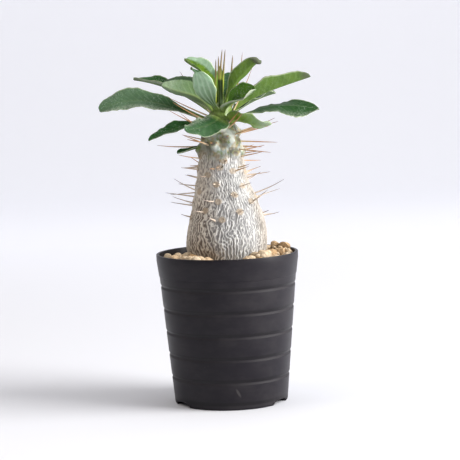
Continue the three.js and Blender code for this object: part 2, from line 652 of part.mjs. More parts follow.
// A closed blade whose two faces are split into triangles along the same diagonals.
function makeLeaf(leaf) {
  const [tipX, tipY, tipZ] = leaf.rib[2];
  const reach = Math.hypot(tipX, tipY, tipZ - leaf.root);
  const steps = Math.max(6, Math.round(reach / LEAF_STEP));
  const across = LEAF_COLUMNS;
  const frames = midrib(leaf, steps);
  const plan = new THREE.PlaneGeometry(1, 1, across, steps);
  const perFace = plan.attributes.position.count;
  const corners = [];
  for (const face of [1, 0]) {
    for (const frame of frames) {
      for (let k = 0; k <= across; k += 1) {
        corners.push(leafPoint(leaf, frame, (2 * k) / across - 1, face));
      }
    }
  }
  const top = Array.from(plan.index.array);
  const triangles = [...top];
  for (let i = 0; i < top.length; i += 3) {
    triangles.push(top[i] + perFace, top[i + 2] + perFace, top[i + 1] + perFace);
  }
  const row = across + 1;
  const rim = [
    ...Array.from({ length: steps }, (_, i) => i * row),
    ...Array.from({ length: across }, (_, i) => steps * row + i),
    ...Array.from({ length: steps }, (_, i) => (steps - i) * row + across),
    ...Array.from({ length: across }, (_, i) => across - i),
  ];
  rim.forEach((a, i) => {
    const b = rim[(i + 1) % rim.length];
    triangles.push(a, a + perFace, b + perFace, a, b + perFace, b);
  });
  const geometry = new THREE.BufferGeometry().setFromPoints(corners);
  geometry.setIndex(triangles);
  const seat = LEAF_SEAT + padSwelling(leafAzimuth(leaf), leaf.root);
  const crown = stemEnvelope(seat, CROWN_BOTTOM, STEM_TOP);
  return geometryOf(biggest(solid(geometry).subtract(crown)));
}

function finish(colour, roughness) {
  return new THREE.MeshStandardMaterial({ color: colour, roughness, metalness: 0 });
}

function named(name, geometry, material) {
  const mesh = new THREE.Mesh(geometry, material);
  mesh.name = name;
  return mesh;
}

const lily = new THREE.Group();
lily.add(named('pot', makePot(), finish(COLOURS.pot, 0.6)));
lily.add(named('soil', makeSoil(), finish(COLOURS.soil, 0.95)));
lily.add(named('stem', makeStem(), finish(COLOURS.stem, 0.85)));
for (const leaf of LEAVES) {
  const colour = leaf.name.startsWith('young') ? COLOURS.youngLeaf : COLOURS.leaf;
  lily.add(named(leaf.name, makeLeaf(leaf), finish(colour, 0.45)));
}

export default lily;
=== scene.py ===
"""Potted kudu lily: a swollen stem in a raised net of grey bark, with pairs of long spines and a
crown of waved leaves, in a small black nursery pot filled with tan grit. Lengths in the tables
are millimetres. The origin is the centre of the pot's underside, and the viewer is towards -Y."""

import itertools
import math

import bmesh
import bpy
import numpy as np
from bpy.props import FloatProperty, FloatVectorProperty, IntProperty, PointerProperty
from mathutils import Matrix, Vector


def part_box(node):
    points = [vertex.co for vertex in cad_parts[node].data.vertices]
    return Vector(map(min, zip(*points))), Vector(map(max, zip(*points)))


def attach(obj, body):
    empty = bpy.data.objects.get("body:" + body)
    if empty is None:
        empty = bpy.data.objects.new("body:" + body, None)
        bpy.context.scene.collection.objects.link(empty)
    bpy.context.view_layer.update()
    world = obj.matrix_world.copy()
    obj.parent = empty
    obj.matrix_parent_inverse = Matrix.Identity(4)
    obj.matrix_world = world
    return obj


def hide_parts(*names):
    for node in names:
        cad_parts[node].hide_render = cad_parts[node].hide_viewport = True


bl_info = {
    "name": "Potted kudu lily",
    "version": (1, 0, 0),
    "blender": (4, 5, 0),
    "location": "3D View > Sidebar > Kudu lily",
    "description": "Models a swollen, spiny stem with a crown of leaves in a nursery pot of grit",
    "category": "Object",
}

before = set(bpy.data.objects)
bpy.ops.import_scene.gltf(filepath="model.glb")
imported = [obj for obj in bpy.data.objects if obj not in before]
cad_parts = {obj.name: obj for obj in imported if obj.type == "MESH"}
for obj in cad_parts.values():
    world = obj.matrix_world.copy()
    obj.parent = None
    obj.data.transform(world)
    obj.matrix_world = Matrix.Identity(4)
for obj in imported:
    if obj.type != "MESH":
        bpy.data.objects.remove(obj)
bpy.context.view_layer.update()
POT_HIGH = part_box("pot")[1]

# A millimetre in metres, the gap between parts in millimetres, a full turn in radians, and the
# distances in metres below which a mesh's points are joined.
MM = 0.001
GAP = 0.3
TURN = 2 * math.pi
WELD = 1e-7
LEAF_WELD = 2e-6

# The generator of draws, and the numbers that turn a cell of the noise into its value.
DRAW_FACTOR = 16807
DRAW_MODULUS = 2147483647
NOISE_PRIMES = (73856093, 19349663, 83492791)
NOISE_SEED_STEP = 7919
NOISE_FACTOR = 668265263

# The pot's rings and its rim band, whose step has rows of height above the band's bottom and share
# of how far it stands proud, and which draws in a little near the lip; its rounded lip and foot,
# in steps of a quarter turn; heights of the wall's inner face; and the angle of its sharp edges.
BAND_BOTTOM = 81.0
BAND_PROUD = 0.35
BAND_STEPS = ((-0.5, 0.0), (0.0, 0.0), (0.15, 0.7), (0.6, 1.0))
BAND_DRAFT = 0.02
BAND_TOP_MARGIN = 4.0
RING_COUNT = 5
RING_TOP = 75.0
RING_PITCH = 14.45
RING_HALF = 1.7
RING_STEPS = 6
LIP_ROUND = 0.45
EDGE_ROUND = 0.7
FOOT_FLAT = 8.0
INNER_ROWS = (80.0, 50.0, 20.0)
QUARTER_TURN = [i * math.pi / 8 for i in range(5)]
POT_SIDES = 192
SHARP_ANGLE = 35.0

# The drainage channels under the floor, the holes in their roofs, and how far the bars that cut
# them reach past the pot.
CHANNEL_COUNT = 3
CHANNEL_START = 12.0
CHANNEL_WIDTH = 16.0
CHANNEL_HEIGHT = 2.8
ARCH_STEPS = 14
ARCH_FULLNESS = 0.7
CUT_BELOW = -1.0
CUT_PAST = 4.0
DRAIN_RADIUS = 2.6
DRAIN_PLACES = (19.0, 28.0)
DRAIN_MIDDLE = 3.0
DRAIN_DEPTH = 8.0
DRAIN_SIDES = 24

# A scratch on the pot's front: its place, its lean in degrees and its reach along each axis.
SCRATCH_PLACE = (4.4, -37.2, 11.0)
SCRATCH_LEAN = -27.0
SCRATCH_REACH = (1.1, 6.0, 4.0)

# The bed of grit, its mounds as rows of x, y, rise and spread, and the rings in which its larger
# granules lie, as rows of radius and count.
GRIT_SEED = 4127
BED_LEVEL = 88.0
BED_SINK = 0.8
BED_SIDES = 144
BED_RINGS = 24
HOLE_ROWS = 12
STEM_CLEARANCE = 0.35
GRANULE_RINGS = ((28.4, 17), (34.6, 20), (40.2, 24))
GRANULE_SCATTER = 0.8
GRANULE_INSET = 0.85
GRANULE_PROUD = (0.1, 0.5)
GRANULE_TILT = 0.6
GRANULE_STRETCH = ((0.74, 1.0), (0.62, 0.86))
MOUNDS = (
    (34, 14, 7.5, 9.5),
    (20, -28, 6.5, 7),
    (-18, -29, 4.5, 6.5),
    (-32, -17, 6, 8),
    (-4, 35, 4, 9),
)

# Fine grit between the granules: its count, its sizes as shares of the usual one, the ring in
# which it starts, how far it gathers towards the wall and how far it stands above the bed.
FINE_COUNT = 420
FINE_SIZES = (0.7, 1.7)
FINE_START = 25.5
FINE_GATHERING = 0.8
FINE_PROUD = (-0.4, 1.2)

# Planes chip the granules down to a share of their radius, and FACET_WEAR is lower for rounder
# edges. Both pieces: the spheres' subdivisions, the planes for each and the seed.
CHIP_DEPTH = (0.70, 1.0)
FACET_WEAR = 16
GRIT_PIECES = {"soil_granules": (4, 13, 3), "soil_fine_grit": (2, 8, 7)}

# Stem: rows of height, radius and shift of the centre towards +X.
STEM = (
    (58, 0, 0), (66, 12.5, 0), (78, 19.5, 0), (91, 23.8, -0.3), (101, 25.4, -0.2),
    (113, 24.2, 0.3), (127, 20.3, 0.2), (138, 16.7, -1.3), (154, 14.2, -2.0),
    (166, 12.2, -2.2), (175, 9.6, -1.7), (183, 6.8, -1.0), (188, 3.9, -0.6), (191, 0, -0.5),
)
STEM_BOTTOM = 58.0
STEM_TOP = 191.0
STEM_SIDES = 496

# Bark: the heights between which it has its net, the height over which it fades out below the
# bare neck, the one over which it grows scaly, and the rows of faces in the root end and above it.
BARK_BOTTOM = 84.0
BARK_TOP = 160.0
BARK_FADE = 11.0
SCALY_FROM = (122.0, 136.0)
ROOT_ROWS = 6
BARK_ROWS = 190

# Ridges of the net: the seed of each family, their half width as a share of their pitch, and how
# far they sway over a few millimetres and lean over many, in pitches.
RIDGE_SEEDS = (11, 23)
RIDGE_SHARE = 0.145
RIDGE_WANDER = 0.8
RIDGE_LEAN = 2.2

# Relief of the stem, in millimetres: broad lumps all over, and lumps and wrinkles of the neck.
BROAD_LUMPS = 0.5
NECK_LUMPS = 1.1
NECK_WRINKLES = 0.16

# Green of the crown: the heights over which it comes up, and the reach and height of the cushion
# from which a leaf grows.
CROWN_GREEN_FROM = (174.0, 180.0)
CUSHION_REACH = 2.0
CUSHION_HEIGHT = 0.7

# Leaf-base pads that carry the spines: azimuth in degrees, height and swelling.
PADS = (
    (-97, 117.5, 0.7), (-68, 122, 0.7), (-40, 128, 0.8), (-12, 130, 0.8), (-127, 123, 0.7),
    (-103, 128.5, 0.9), (-71, 132.5, 0.9), (-165, 118, 0.6), (-176, 128, 0.8),
    (-146, 134.5, 0.8), (-104, 139, 0.9), (-45, 137.5, 0.9), (-175, 137.5, 0.8),
    (-124, 145, 0.9), (-64, 147, 0.9), (-22, 146, 0.9), (-94, 149.5, 0.9),
    (-168, 148.5, 0.9), (-84, 153.5, 1.4), (-150, 156.5, 1.7), (-52, 158, 1.9),
    (-12, 159, 1.7), (-174, 161, 2.0), (-108, 164.5, 2.0), (-32, 166, 2.3),
    (-75, 168, 2.2), (-140, 168, 2.2), (2, 171, 2.0), (-100, 174, 2.0),
)

# Pads of the back: they climb in the plant's own spiral, between two heights and two azimuths.
BACK_PAD_COUNT = 18
BACK_PAD_HEIGHTS = (117.0, 172.0)
BACK_PAD_ARC = (12.0, 168.0)
BACK_PAD_START = 20.0
SPIRAL_TURN = 137.5
BACK_PAD_SWELLING = (0.6, 2.2)

# Every pad: its reach, how much wider than high it is, its height as a share of its swelling, and
# the depth of the scar on it.
PAD_SPREAD = 2.5
PAD_WIDENING = 1.25
PAD_HEIGHT = 1.1
SCAR_DEPTH = 0.4

# Spines of the side that is looked at: azimuth and height of the root, then x, y and z of the tip.
SPINES = (
    (-6, 131.5, 37.8, -6, 140.8), (0, 127.5, 27, 2, 133.5), (-2, 119, 27.3, -3, 121),
    (-41, 126, 20.5, -23.5, 131), (-30, 127, 25, -19, 134), (-54, 136.5, 16.5, -22, 140),
    (-8, 141.5, 23, -4, 145.5), (2, 145, 23.5, 4, 148.5), (-58, 146.5, 15.3, -20, 150),
    (-42, 149, 16, -17, 151.5), (-12, 157, 21, -7, 158.5), (-22, 155.5, 24.5, -12, 158.5),
    (-35, 160.5, 29.9, -15, 157.9), (-10, 162, 24.6, -5, 161), (-8, 165, 34.3, -7, 163.7),
    (-4, 169.5, 35.4, -3, 176.9), (2, 170.5, 33.5, 4, 179), (-40, 169, 17.5, -16, 173.5),
    (-68, 174, 10.5, -18, 184.3), (-62, 173, 12.3, -24, 183.5),
    (-122, 163, -25, -22, 170.5), (-156, 165, -23, -10, 167.5), (-172, 162.5, -42.7, -6, 164.2),
    (-150, 155, -29, -14, 158.2), (-165, 150.5, -22, -6, 150.7), (-166, 148, -27.5, -9, 149.9),
    (-108, 148.5, -9.6, -21.5, 149.3), (-132, 144, -15.6, -17.5, 144.6),
    (-178, 137.5, -29.7, -3, 139.5), (170, 142, -24, 4, 144.5),
    (-176, 130.5, -38.3, -4, 134.1), (-172, 126.5, -33.6, -6, 131.8),
    (-112, 128.5, -14.2, -25.5, 130.4), (-132, 121.8, -20.4, -24, 124),
    (-108, 116.5, -11.6, -29.5, 120), (-166, 118, -28.4, -10, 120.8),
)
# Spines of the crown, which are thicker and still green.
CROWN_SPINES = (
    (-98, 185, 0.9, -5, 223.3), (-91, 185, 2.8, -4.5, 223.2), (-140, 184, -3.3, -6, 217),
    (-100, 186.5, -1.6, -7, 219), (35, 184.5, 7.4, 7, 219.5), (15, 183, 13.6, 7, 221.5),
)
# Slim spines between the leaves.
UPPER_SPINES = (
    (-160, 180.5, -34, -8, 194), (-145, 177, -31.5, -12, 191.3), (-150, 172, -34, -10, 186),
    (-140, 170, -26.5, -12, 184), (-8, 181, 19.5, 4, 211), (160, 182, -27, 14, 210.5),
)

# Pairs of spines on the back's pads, and short ones on pads that face the viewer and have none of
# the table's within CLEAR_TURN and CLEAR_HEIGHT: their lengths, their lifts and splay in degrees,
# how far they turn from the pad's own direction to the viewer, and the seed of their draws.
BACK_PAIRS = dict(lengths=(12.0, 24.0), lifts=(-4.0, 22.0), splay=24.0, facing=0.0, seed=977)
FACING_PAIRS = dict(lengths=(8.0, 13.0), lifts=(0.0, 9.0), splay=5.0, facing=0.9, seed=353)
PAIR_OFFSET = 1.4
VIEWER_AZIMUTH = -90.0
FACING_ARC = (-118.0, -58.0)
FACING_TOP = 170.0
CLEAR_TURN = 12.0
CLEAR_HEIGHT = 4.0

# Every spine: how deep it is rooted, the length from which it is thickest, its bend as a share of
# its length, the reach of its thicker foot, and the heights over which spines turn green and grey.
SPINE_SEED = 61
SPINE_ROOT_DEPTH = 1.5
LONG_SPINE = 34.0
SPINE_BEND = 0.05
SPINE_FOOT = 1.1
SPINE_GREEN_FROM = (182.5, 184.0)
SPINE_AGED_FROM = (178.0, 122.0)
SPINE_SIDES = 8
SPINE_STEPS = 14

# The painted shade of the hollow at the middle of the crown: where its left and right side and its
# top begin and end to show.
HOLLOW_LEFT = (-3.0, -2.0)
HOLLOW_RIGHT = (1.0, 0.2)
HOLLOW_TOP = (205.0, 203.0)

# Leaves: the height of the root on the stem; the rib, as two places a third and two thirds of
# the way along the midrib and then its tip; the width and the share of the length where it is
# widest; roll of the blade at its root and the turn it gains by the tip, and the fold of its left
# and right half above the flat, in degrees, seen from above along the leaf; height and number
# of the margin's waves; and warmth of its green from 0, bluish, to 1, yellow. Some are told
# apart by a more slender or fuller stalk end, a blunter or sharper point, a wider right half
# (lean), waves that start further on (phase), margins that curl, long pleats in place of side
# veins, or a curled end of the given radius (knob). From 0 to 1 each may have depth, a darker
# tone; bloom, a pale bluish wax; fresh, a bright green that is partly painted light shining
# through the blade; felt, pale down at the margin; rimmed, a dark band along it; hoary, a grey
# end; aged, a withered tip; strip, the share of the width beside the rib that is painted bright
# green as light shining through; and ribbed, how pale its midrib is. A pair is for the left and
# the right half. A row has only what differs from LEAF_DEFAULTS.
LEAVES = (
    dict(name="leaf_01", root=179, rib=[(-31, -2, 187.5), (-54, -4, 192.5), (-77, -7, 186.5)],
         width=17.5, widest=0.64, roll=26, twist=22, fold=(6, 6),
         wave=0.8, waves=3.2, point=0.56, lean=0.2,
         warmth=0.25, bloom=0.18, depth=0.7, felt=(0.6, 0.1), curl=(-20, -10)),
    dict(name="leaf_02", root=183, rib=[(-22.5, 12, 194.5), (-39.5, 20, 202), (-57, 27, 206)],
         width=15, widest=0.6, roll=10, twist=4, fold=(32, 22),
         wave=0.6, point=0.7, warmth=0.3, felt=(0.7, 0.1), aged=0.4),
    dict(name="leaf_03", root=183, rib=[(-15.5, -9, 193.5), (-26, -12, 197.5), (-37.5, -14, 202)],
         width=21, widest=0.5, roll=-60, twist=-14, fold=(34, 60),
         wave=0.5, waves=2.5, point=0.55,
         warmth=0.5, bloom=0.25, felt=(0.2, 0.1), rimmed=(1.0, 0.0), hoary=0.5),
    dict(name="leaf_04", root=185, rib=[(-8, -14, 193), (-11.5, -18, 201.5), (-14.5, -21, 209.5)],
         width=13.6, widest=0.62, roll=-25, fold=(2, 2),
         wave=0.5, waves=2.5, slender=2.2, point=0.45, bloom=1.0, pleats=2.4, ribbed=0.0),
    dict(name="leaf_05", root=187, rib=[(-6, 8, 203), (-14, 15, 211), (-23.5, 20, 217.5)],
         width=16.5, widest=0.76, roll=25, twist=5, fold=(55, 10),
         wave=0.5, point=0.45, warmth=(0.8, 0.1),
         bloom=(0.0, 0.85), fresh=(1.0, 0.0), strip=0.42, aged=0.3),
    dict(name="leaf_06", root=187, rib=[(6.5, -9, 199.5), (14.5, -15, 209.5), (24, -20, 215.5)],
         width=14.5, roll=6, twist=10, fold=(16, 16),
         wave=0.4, waves=2.5, slender=2.2, point=0.4,
         warmth=0.9, fresh=0.2, ribbed=0.15, aged=1.0, knob=2.3),
    dict(name="leaf_07", root=184, rib=[(4.5, -14, 189.5), (13, -18, 193), (20.5, -21, 198)],
         width=20, widest=0.6, roll=-16, twist=-10, fold=(44, 16),
         wave=0.8, waves=2.5, point=0.45, warmth=(1.0, 0.6), fresh=(0.35, 0.0), felt=(0.05, 0.9)),
    dict(name="leaf_08", root=182, rib=[(17.5, 3, 191.5), (36, 9, 198.5), (56.5, 14, 204.5)],
         width=18, widest=0.52, roll=25, twist=10, fold=(70, 60),
         wave=0.4, waves=2.5, lean=-0.1, warmth=0.75, depth=0.26, fresh=0.15, ribbed=0.5, aged=0.8),
    dict(name="leaf_09", root=179, rib=[(25, 3, 185.5), (42.5, 6, 186.5), (61.5, 8, 183.5)],
         width=20, widest=0.62, roll=30, twist=-66, fold=(4, -24),
         wave=0.9, waves=2, slender=0.8, point=1, lean=0.1, phase=0.3,
         warmth=0.4, depth=1, felt=(0.05, 0.4)),
    dict(name="leaf_10", root=177, rib=[(10, -10, 179.5), (18.5, -15, 176.5), (30, -18, 176)],
         width=13.5, widest=0.4, roll=34, twist=10,
         waves=2.2, slender=0.6, point=0.9, warmth=1, bloom=0.35, fresh=1.0, felt=(0.1, 0.4), hoary=0.9),
    dict(name="leaf_11", root=181, rib=[(-5.5, -16, 178), (-14.5, -24, 175), (-23.5, -30, 174.5)],
         width=17.5, widest=0.42, roll=22, twist=18, fold=(2, 2),
         waves=2.2, slender=0.7, point=0.42, lean=-0.12, bloom=0.1, depth=0.4, felt=(0.1, 0.6)),
    dict(name="leaf_12", root=177, rib=[(-24.5, -8, 176), (-35.5, -11, 173), (-47, -14, 168)],
         width=10, widest=0.5, roll=24, twist=10,
         wave=0.6, waves=2.5, point=1, warmth=0.15, felt=(0.3, 0.1)),
    dict(name="leaf_13", root=162.5, rib=[(-18, -5, 162.5), (-23, -8, 161), (-29.5, -10, 159.5)],
         width=4.4, widest=0.8, roll=20, wave=0.2, waves=1.5, slender=2.5, point=0.4),
    dict(name="leaf_14", root=180.5, rib=[(12, 17, 186.5), (22, 29, 191), (34.5, 39, 194.5)],
         width=17, twist=8, fold=(16, 16)),
    dict(name="leaf_15", root=184, rib=[(-7, 11, 196), (-11.5, 24, 205), (-20, 33, 212)],
         width=14, twist=-8, fold=(20, 20), wave=0.9),
    dict(name="leaf_16", root=187, rib=[(2.5, 9, 197), (4.5, 20, 204), (7, 29, 208)],
         width=14, twist=12),
    dict(name="leaf_17", root=182, rib=[(-8.5, 18, 190), (-15.5, 36, 196.5), (-22, 53, 198)],
         width=15, twist=14, fold=(12, 12), wave=1.2),
    dict(name="leaf_18", root=180, rib=[(-1, 22, 186), (-1.5, 42, 187.5), (-2, 62, 184)],
         width=18, twist=-10, wave=1.2),
    dict(name="leaf_19", root=181, rib=[(5, 18, 189.5), (11, 34, 195.5), (17, 50, 198)],
         width=13, twist=6),
    dict(name="leaf_20", root=176, rib=[(-7, 14, 178.5), (-9.5, 27, 178), (-12, 39, 173)],
         width=14, twist=6),
    dict(name="young_leaf_1", root=188, rib=[(-1, 2, 195), (-1, 3, 203.5), (-1, 4, 212.5)],
         width=6, widest=0.5, fold=(46, 46), wave=0.2, waves=2, warmth=0.9),
    dict(name="young_leaf_2", root=187.5, rib=[(3.5, -0.5, 193.5), (5, -0.5, 198.5), (6.5, -0.5, 203)],
         width=4.4, widest=0.5, fold=(36, 36), wave=0.2, waves=2, warmth=1),
)
LEAF_DEFAULTS = {
    "widest": 0.66, "roll": 0, "twist": 0, "fold": (14, 14), "wave": 1, "waves": 3, "warmth": 0.2,
    "slender": 1.5, "point": 0.6, "lean": 0.0, "phase": 0.0, "curl": (0, 0), "pleats": 0, "knob": 0.0,
    "depth": 0.0, "bloom": 0.0, "fresh": 0.0, "felt": 0.05, "rimmed": 0.0, "hoary": 0.0,
    "aged": 0.0, "ribbed": 1.0, "strip": 0.0,
}

# What may differ between the two halves of a leaf. Their margins read noise at places far apart,
# and the waves of the left one start further on.
HALVES_APART = 40.0
LEFT_PHASE = 1.9
PAIRED_VALUES = ("warmth", "depth", "bloom", "fresh", "felt", "rimmed")

# Blades: the stalk's width as a share of the blade's, how deep they are rooted, the least distance
# from the stem's centre, the half width of the tip, and the place and half length of a curled end
# as shares of the leaf. The midrib's length is summed up over MIDRIB_SAMPLES.
MIDRIB_SAMPLES = 201
STALK_RATIO = 0.14
LEAF_ROOT_DEPTH = 1.5
LEAF_ROOT_RADIUS = 0.4
TIP_HALF_WIDTH = 0.35
KNOB_PLACE = 0.955
KNOB_SHARE = 0.044

# The steps and the softness of the fold at the rib, the faces across and the length of one, the
# groove over the rib as depth and half width, the keel's half width, the swelling between veins
# and between pleats, the side veins, and the shares of the length over which a tip is withered
# or grey.
FOLD_STEPS = 10
FOLD_SOFTNESS = 0.16
LEAF_ACROSS = 32
LEAF_STEP = 0.65
FEWEST_STEPS = 24
GROOVE = (0.28, 0.7)
KEEL_HALF = 0.9
VEIN_QUILT = 0.15
PLEAT_QUILT = 0.22
VEIN_SPACING = 4.2
VEIN_HALF = 0.09
AGED_END = (0.86, 0.95)
HOARY_END = (0.62, 0.86)

# What the stem's materials read from its mesh.
STEM_MASKS = ("ridge", "scaly", "pad", "scar", "neck", "lump", "cushion", "side")

# Colours that lie over those of the settings: of the pot and the grit, the bark, the bare neck,
# the pads and cushions, and the horn of the spines.
# Painted shade on the upper flank of the pot's ring grooves.
GROOVE_SHADE_BLACK = (0.003, 0.0025, 0.003)
# Painted shade in the grit's pits, and painted shadow under and between its granules.
GRIT_PIT_SHADE = (0.20, 0.115, 0.05)
GRIT_SHADOW = (0.07, 0.042, 0.02)
# Painted shade in the meshes of the stem's left side.
LEFT_SHADE_BARK_FLOOR = (0.135, 0.10, 0.075)
BLUE_BARK = (0.34, 0.37, 0.38)
# Painted shade of the stem's right edge, in its meshes and on its ridges.
RIGHT_EDGE_SHADE_FLOOR = (0.13, 0.105, 0.08)
RIGHT_EDGE_SHADE_RIDGE = (0.46, 0.41, 0.355)
NECK_TAN = (0.36, 0.28, 0.15)
NECK_OLIVE = (0.15, 0.20, 0.055)
NECK_GREY = (0.42, 0.48, 0.48)
# Painted shade on the neck's left side.
NECK_LEFT_SHADE = (0.20, 0.16, 0.055)
# Painted shade in the neck's dips, and pale wax with a painted highlight on its lumps.
NECK_DIP_SHADE = (0.06, 0.05, 0.02)
NECK_WAX_AND_HIGHLIGHT = (0.56, 0.59, 0.55)
PALE_PAD = (0.60, 0.50, 0.38)
SCAR_BROWN = (0.085, 0.055, 0.03)
CUSHION_GREEN = (0.15, 0.22, 0.045)
PALE_HORN = (0.78, 0.62, 0.42)
OLD_PALE_HORN = (0.76, 0.63, 0.50)
CROWN_HORN = (0.26, 0.19, 0.075)
GREEN_HORN = (0.55, 0.64, 0.07)
# Painted shade of the spines in the crown's hollow.
HORN_HOLLOW_SHADE = (0.008, 0.042, 0.004)
HORN_TIP = (0.12, 0.06, 0.035)

# Colours of the leaves. The greens of grown and of young ones are those of a warm face above and
# of one beneath.
GROWN_GREENS = ((0.042, 0.16, 0.012), (0.095, 0.165, 0.024))
YOUNG_GREENS = ((0.16, 0.34, 0.02), (0.32, 0.46, 0.05))
YOUNG_MARGIN = (0.42, 0.52, 0.08)
MOTTLED_ABOVE = (0.03, 0.09, 0.034)
MOTTLED_BENEATH = (0.11, 0.165, 0.085)
# Painted shade of the young leaves in the crown's hollow.
LEAF_HOLLOW_SHADE = (0.018, 0.05, 0.008)
# Bright green, partly the leaf's own and partly painted light shining through the blade.
FRESH_AND_BACKLIT_GREEN = (0.19, 0.33, 0.025)
DEEP_GREEN = (0.008, 0.028, 0.006)
PATCH_GREEN = (0.010, 0.048, 0.008)
WAX_BLOOM = (0.42, 0.61, 0.42)
PLEAT_GREEN = (0.10, 0.21, 0.10)
VEIN_GREEN = (0.24, 0.34, 0.17)
WAXY_VEIN = (0.50, 0.64, 0.48)
# Painted glints on the leaves.
GLINT_PALE = (0.42, 0.52, 0.44)
HOARY_GREY = (0.42, 0.45, 0.38)
FELT_GREY = (0.40, 0.43, 0.36)
RIB_GREEN = (0.34, 0.42, 0.17)
STALK_GREEN = (0.27, 0.36, 0.09)
RIM_GREEN = (0.008, 0.028, 0.012)
WITHERED = (0.09, 0.095, 0.07)

# Stage, in metres: the floor's half width, its section from near to far, the sweep up to the
# backdrop, and the lights by setting: name, place, size, colour and what they point at.
FLOOR_HALF = 3.0
FLOOR_NEAR = -1.8
FLOOR_FAR = 1.6
SWEEP_RADIUS = 0.5
SWEEP_STEPS = 12
BACKDROP_TOP = 2.2
LIGHTS = {
    "key_power": ("window", (1.1, -0.32, 0.62), 0.9, (1, 0.99, 0.97)),
    "fill_power": ("fill", (-0.9, -0.25, 0.95), 0.8, (1, 0.9, 0.8)),
}
LIGHTS_AIM = (0, 0, 0.12)
ROOM_WHITE = (0.98, 0.985, 1.0)

# The backdrop's glow comes up between two distances, and the room is dimmer from the front and
# left than from elsewhere.
GLOW_FROM = (0.1, 1.2)
DIM_LEANING = 0.62
DIM_FROM = (0.15, -0.65)

# The camera: its place in millimetres, its turns in degrees and its focal length in pixels of
# a square picture of the given size.
CAMERA_PLACE = (0.0, -1000.0, 208.6)
CAMERA_PITCH = 5.70
CAMERA_YAW = 0.13
CAMERA_ROLL = 1.77
CAMERA_FOCAL = 1585.0
PICTURE_SIZE = 460.0
SENSOR = 36.0


def smoothstep(low, high, value):
    """0 below low, 1 above high, and a smooth rise between."""
    share = np.clip((value - low) / (high - low), 0, 1)
    return share * share * (3 - 2 * share)


def lerp(low, high, share):
    """Between low and high, by a share."""
    return low + (high - low) * share


def polar(radius, angle):
    """x and y of a place at a radius and an angle."""
    return radius * math.cos(angle), radius * math.sin(angle)


def seeded_draw(seed):
    """Draws between 0 and 1 that are the same in every run."""
    state = seed

    def draw():
        nonlocal state
        state = (state * DRAW_FACTOR) % DRAW_MODULUS
        return state / DRAW_MODULUS

    return draw


def along(rows, z, column):
    """Value of a column at heights z, on a smooth curve through rows that start with a height."""
    table = np.array(rows, float)
    heights, values = table[:, 0], table[:, column]
    last = len(rows) - 1
    below = np.maximum(np.arange(last + 1) - 1, 0)
    above = np.minimum(np.arange(last + 1) + 1, last)
    slope = (values[above] - values[below]) / (heights[above] - heights[below])
    i = np.clip(np.searchsorted(heights, z, side="left") - 1, 0, last - 1)
    span = heights[i + 1] - heights[i]
    s = np.clip((z - heights[i]) / span, 0, 1)
    ease = s * s * (3 - 2 * s)
    lift = span * s * (1 - s) * ((1 - s) * slope[i] - s * slope[i + 1])
    return lerp(values[i], values[i + 1], ease) + lift


def stem_radius(z):
    """The stem's radius at heights z."""
    return along(STEM, z, 1)


def stem_shift(z):
    """How far the stem's centre stands towards +X at heights z."""
    return along(STEM, z, 2)


def cloudy(points, size, seed=0):
    """Smooth noise from -1 to 1 at points in millimetres, with lumps of about the given size."""
    lattice = points / size + 100.0
    cell = np.floor(lattice).astype(np.int64)
    share = lattice - cell
    share = share * share * (3 - 2 * share)
    total = np.zeros(points.shape[:-1])
    for corner in itertools.product((0, 1), repeat=3):
        mixed = (cell + corner) @ np.array(NOISE_PRIMES) + NOISE_SEED_STEP * seed
        mixed = (mixed ^ (mixed >> 15)) * NOISE_FACTOR & 0xFFFFFFFF
        value = ((mixed ^ (mixed >> 13)) & 0xFFFF) / 32767.5 - 1
        total += np.prod(np.where(corner, share, 1 - share), axis=-1) * value
    return total


def coordinates(mesh):
    """A mesh's points as an array, in millimetres."""
    points = np.zeros(len(mesh.vertices) * 3, np.float32)
    mesh.vertices.foreach_get("co", points)
    return points.reshape(-1, 3).astype(float) / MM


def move_points(mesh, points):
    """Puts a mesh's points where an array in millimetres says."""
    mesh.vertices.foreach_set("co", (points * MM).astype(np.float32).ravel())
    mesh.update()


def write_attribute(mesh, name, values):
    """Stores a value for each point of a mesh, for its material to read."""
    layer = mesh.attributes.new(name, "FLOAT", "POINT")
    layer.data.foreach_set("value", np.asarray(values, np.float32))


def lathe(name, profile, steps):
    """A closed mesh turned about Z: a grid rolled up on a profile of radius and height."""
    bm = bmesh.new()
    bmesh.ops.create_grid(bm, x_segments=steps, y_segments=len(profile) - 1, size=1)
    radii, heights = np.array(profile, float).T
    for vert in bm.verts:
        angle = vert.co.x * math.pi
        row = round((vert.co.y + 1) / 2 * (len(profile) - 1))
        radius = radii[row] * MM
        vert.co = (*polar(radius, angle), heights[row] * MM)
    return mesh_from(bm, name, WELD)


def mesh_from(bm, name, weld=0.0):
    """A mesh from a bmesh; with a weld, points closer than that are joined and faces turned out."""
    if weld:
        bmesh.ops.remove_doubles(bm, verts=bm.verts, dist=weld)
        bmesh.ops.recalc_face_normals(bm, faces=bm.faces)
    mesh = bpy.data.meshes.new(name)
    bm.to_mesh(mesh)
    bm.free()
    return mesh


def add_object(name, data):
    """Links a new object to the scene."""
    made = bpy.data.objects.new(name, data)
    bpy.context.scene.collection.objects.link(made)
    return made


def place_piece(name, mesh, material, replaces=()):
    """Links a finished mesh as a piece that rides on the plant's one body."""
    mesh.shade_smooth()
    mesh.materials.append(material)
    piece = add_object(name, mesh)
    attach(piece, "root")
    if replaces:
        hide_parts(*replaces)
    return piece


def carve(mesh, steps):
    """Joins cutters to a mesh or cuts them from it: steps are pairs of operation and mesh."""
    body = add_object("carved", mesh)
    cutters = []
    for operation, cutter_mesh in steps:
        cutter = add_object("cutter", cutter_mesh)
        modifier = body.modifiers.new("carve", "BOOLEAN")
        modifier.operation = operation
        modifier.solver = "EXACT"
        modifier.object = cutter
        cutters.append(cutter)
    graph = bpy.context.evaluated_depsgraph_get()
    carved = bpy.data.meshes.new_from_object(body.evaluated_get(graph))
    for used in [body, *cutters]:
        bpy.data.objects.remove(used)
    return carved


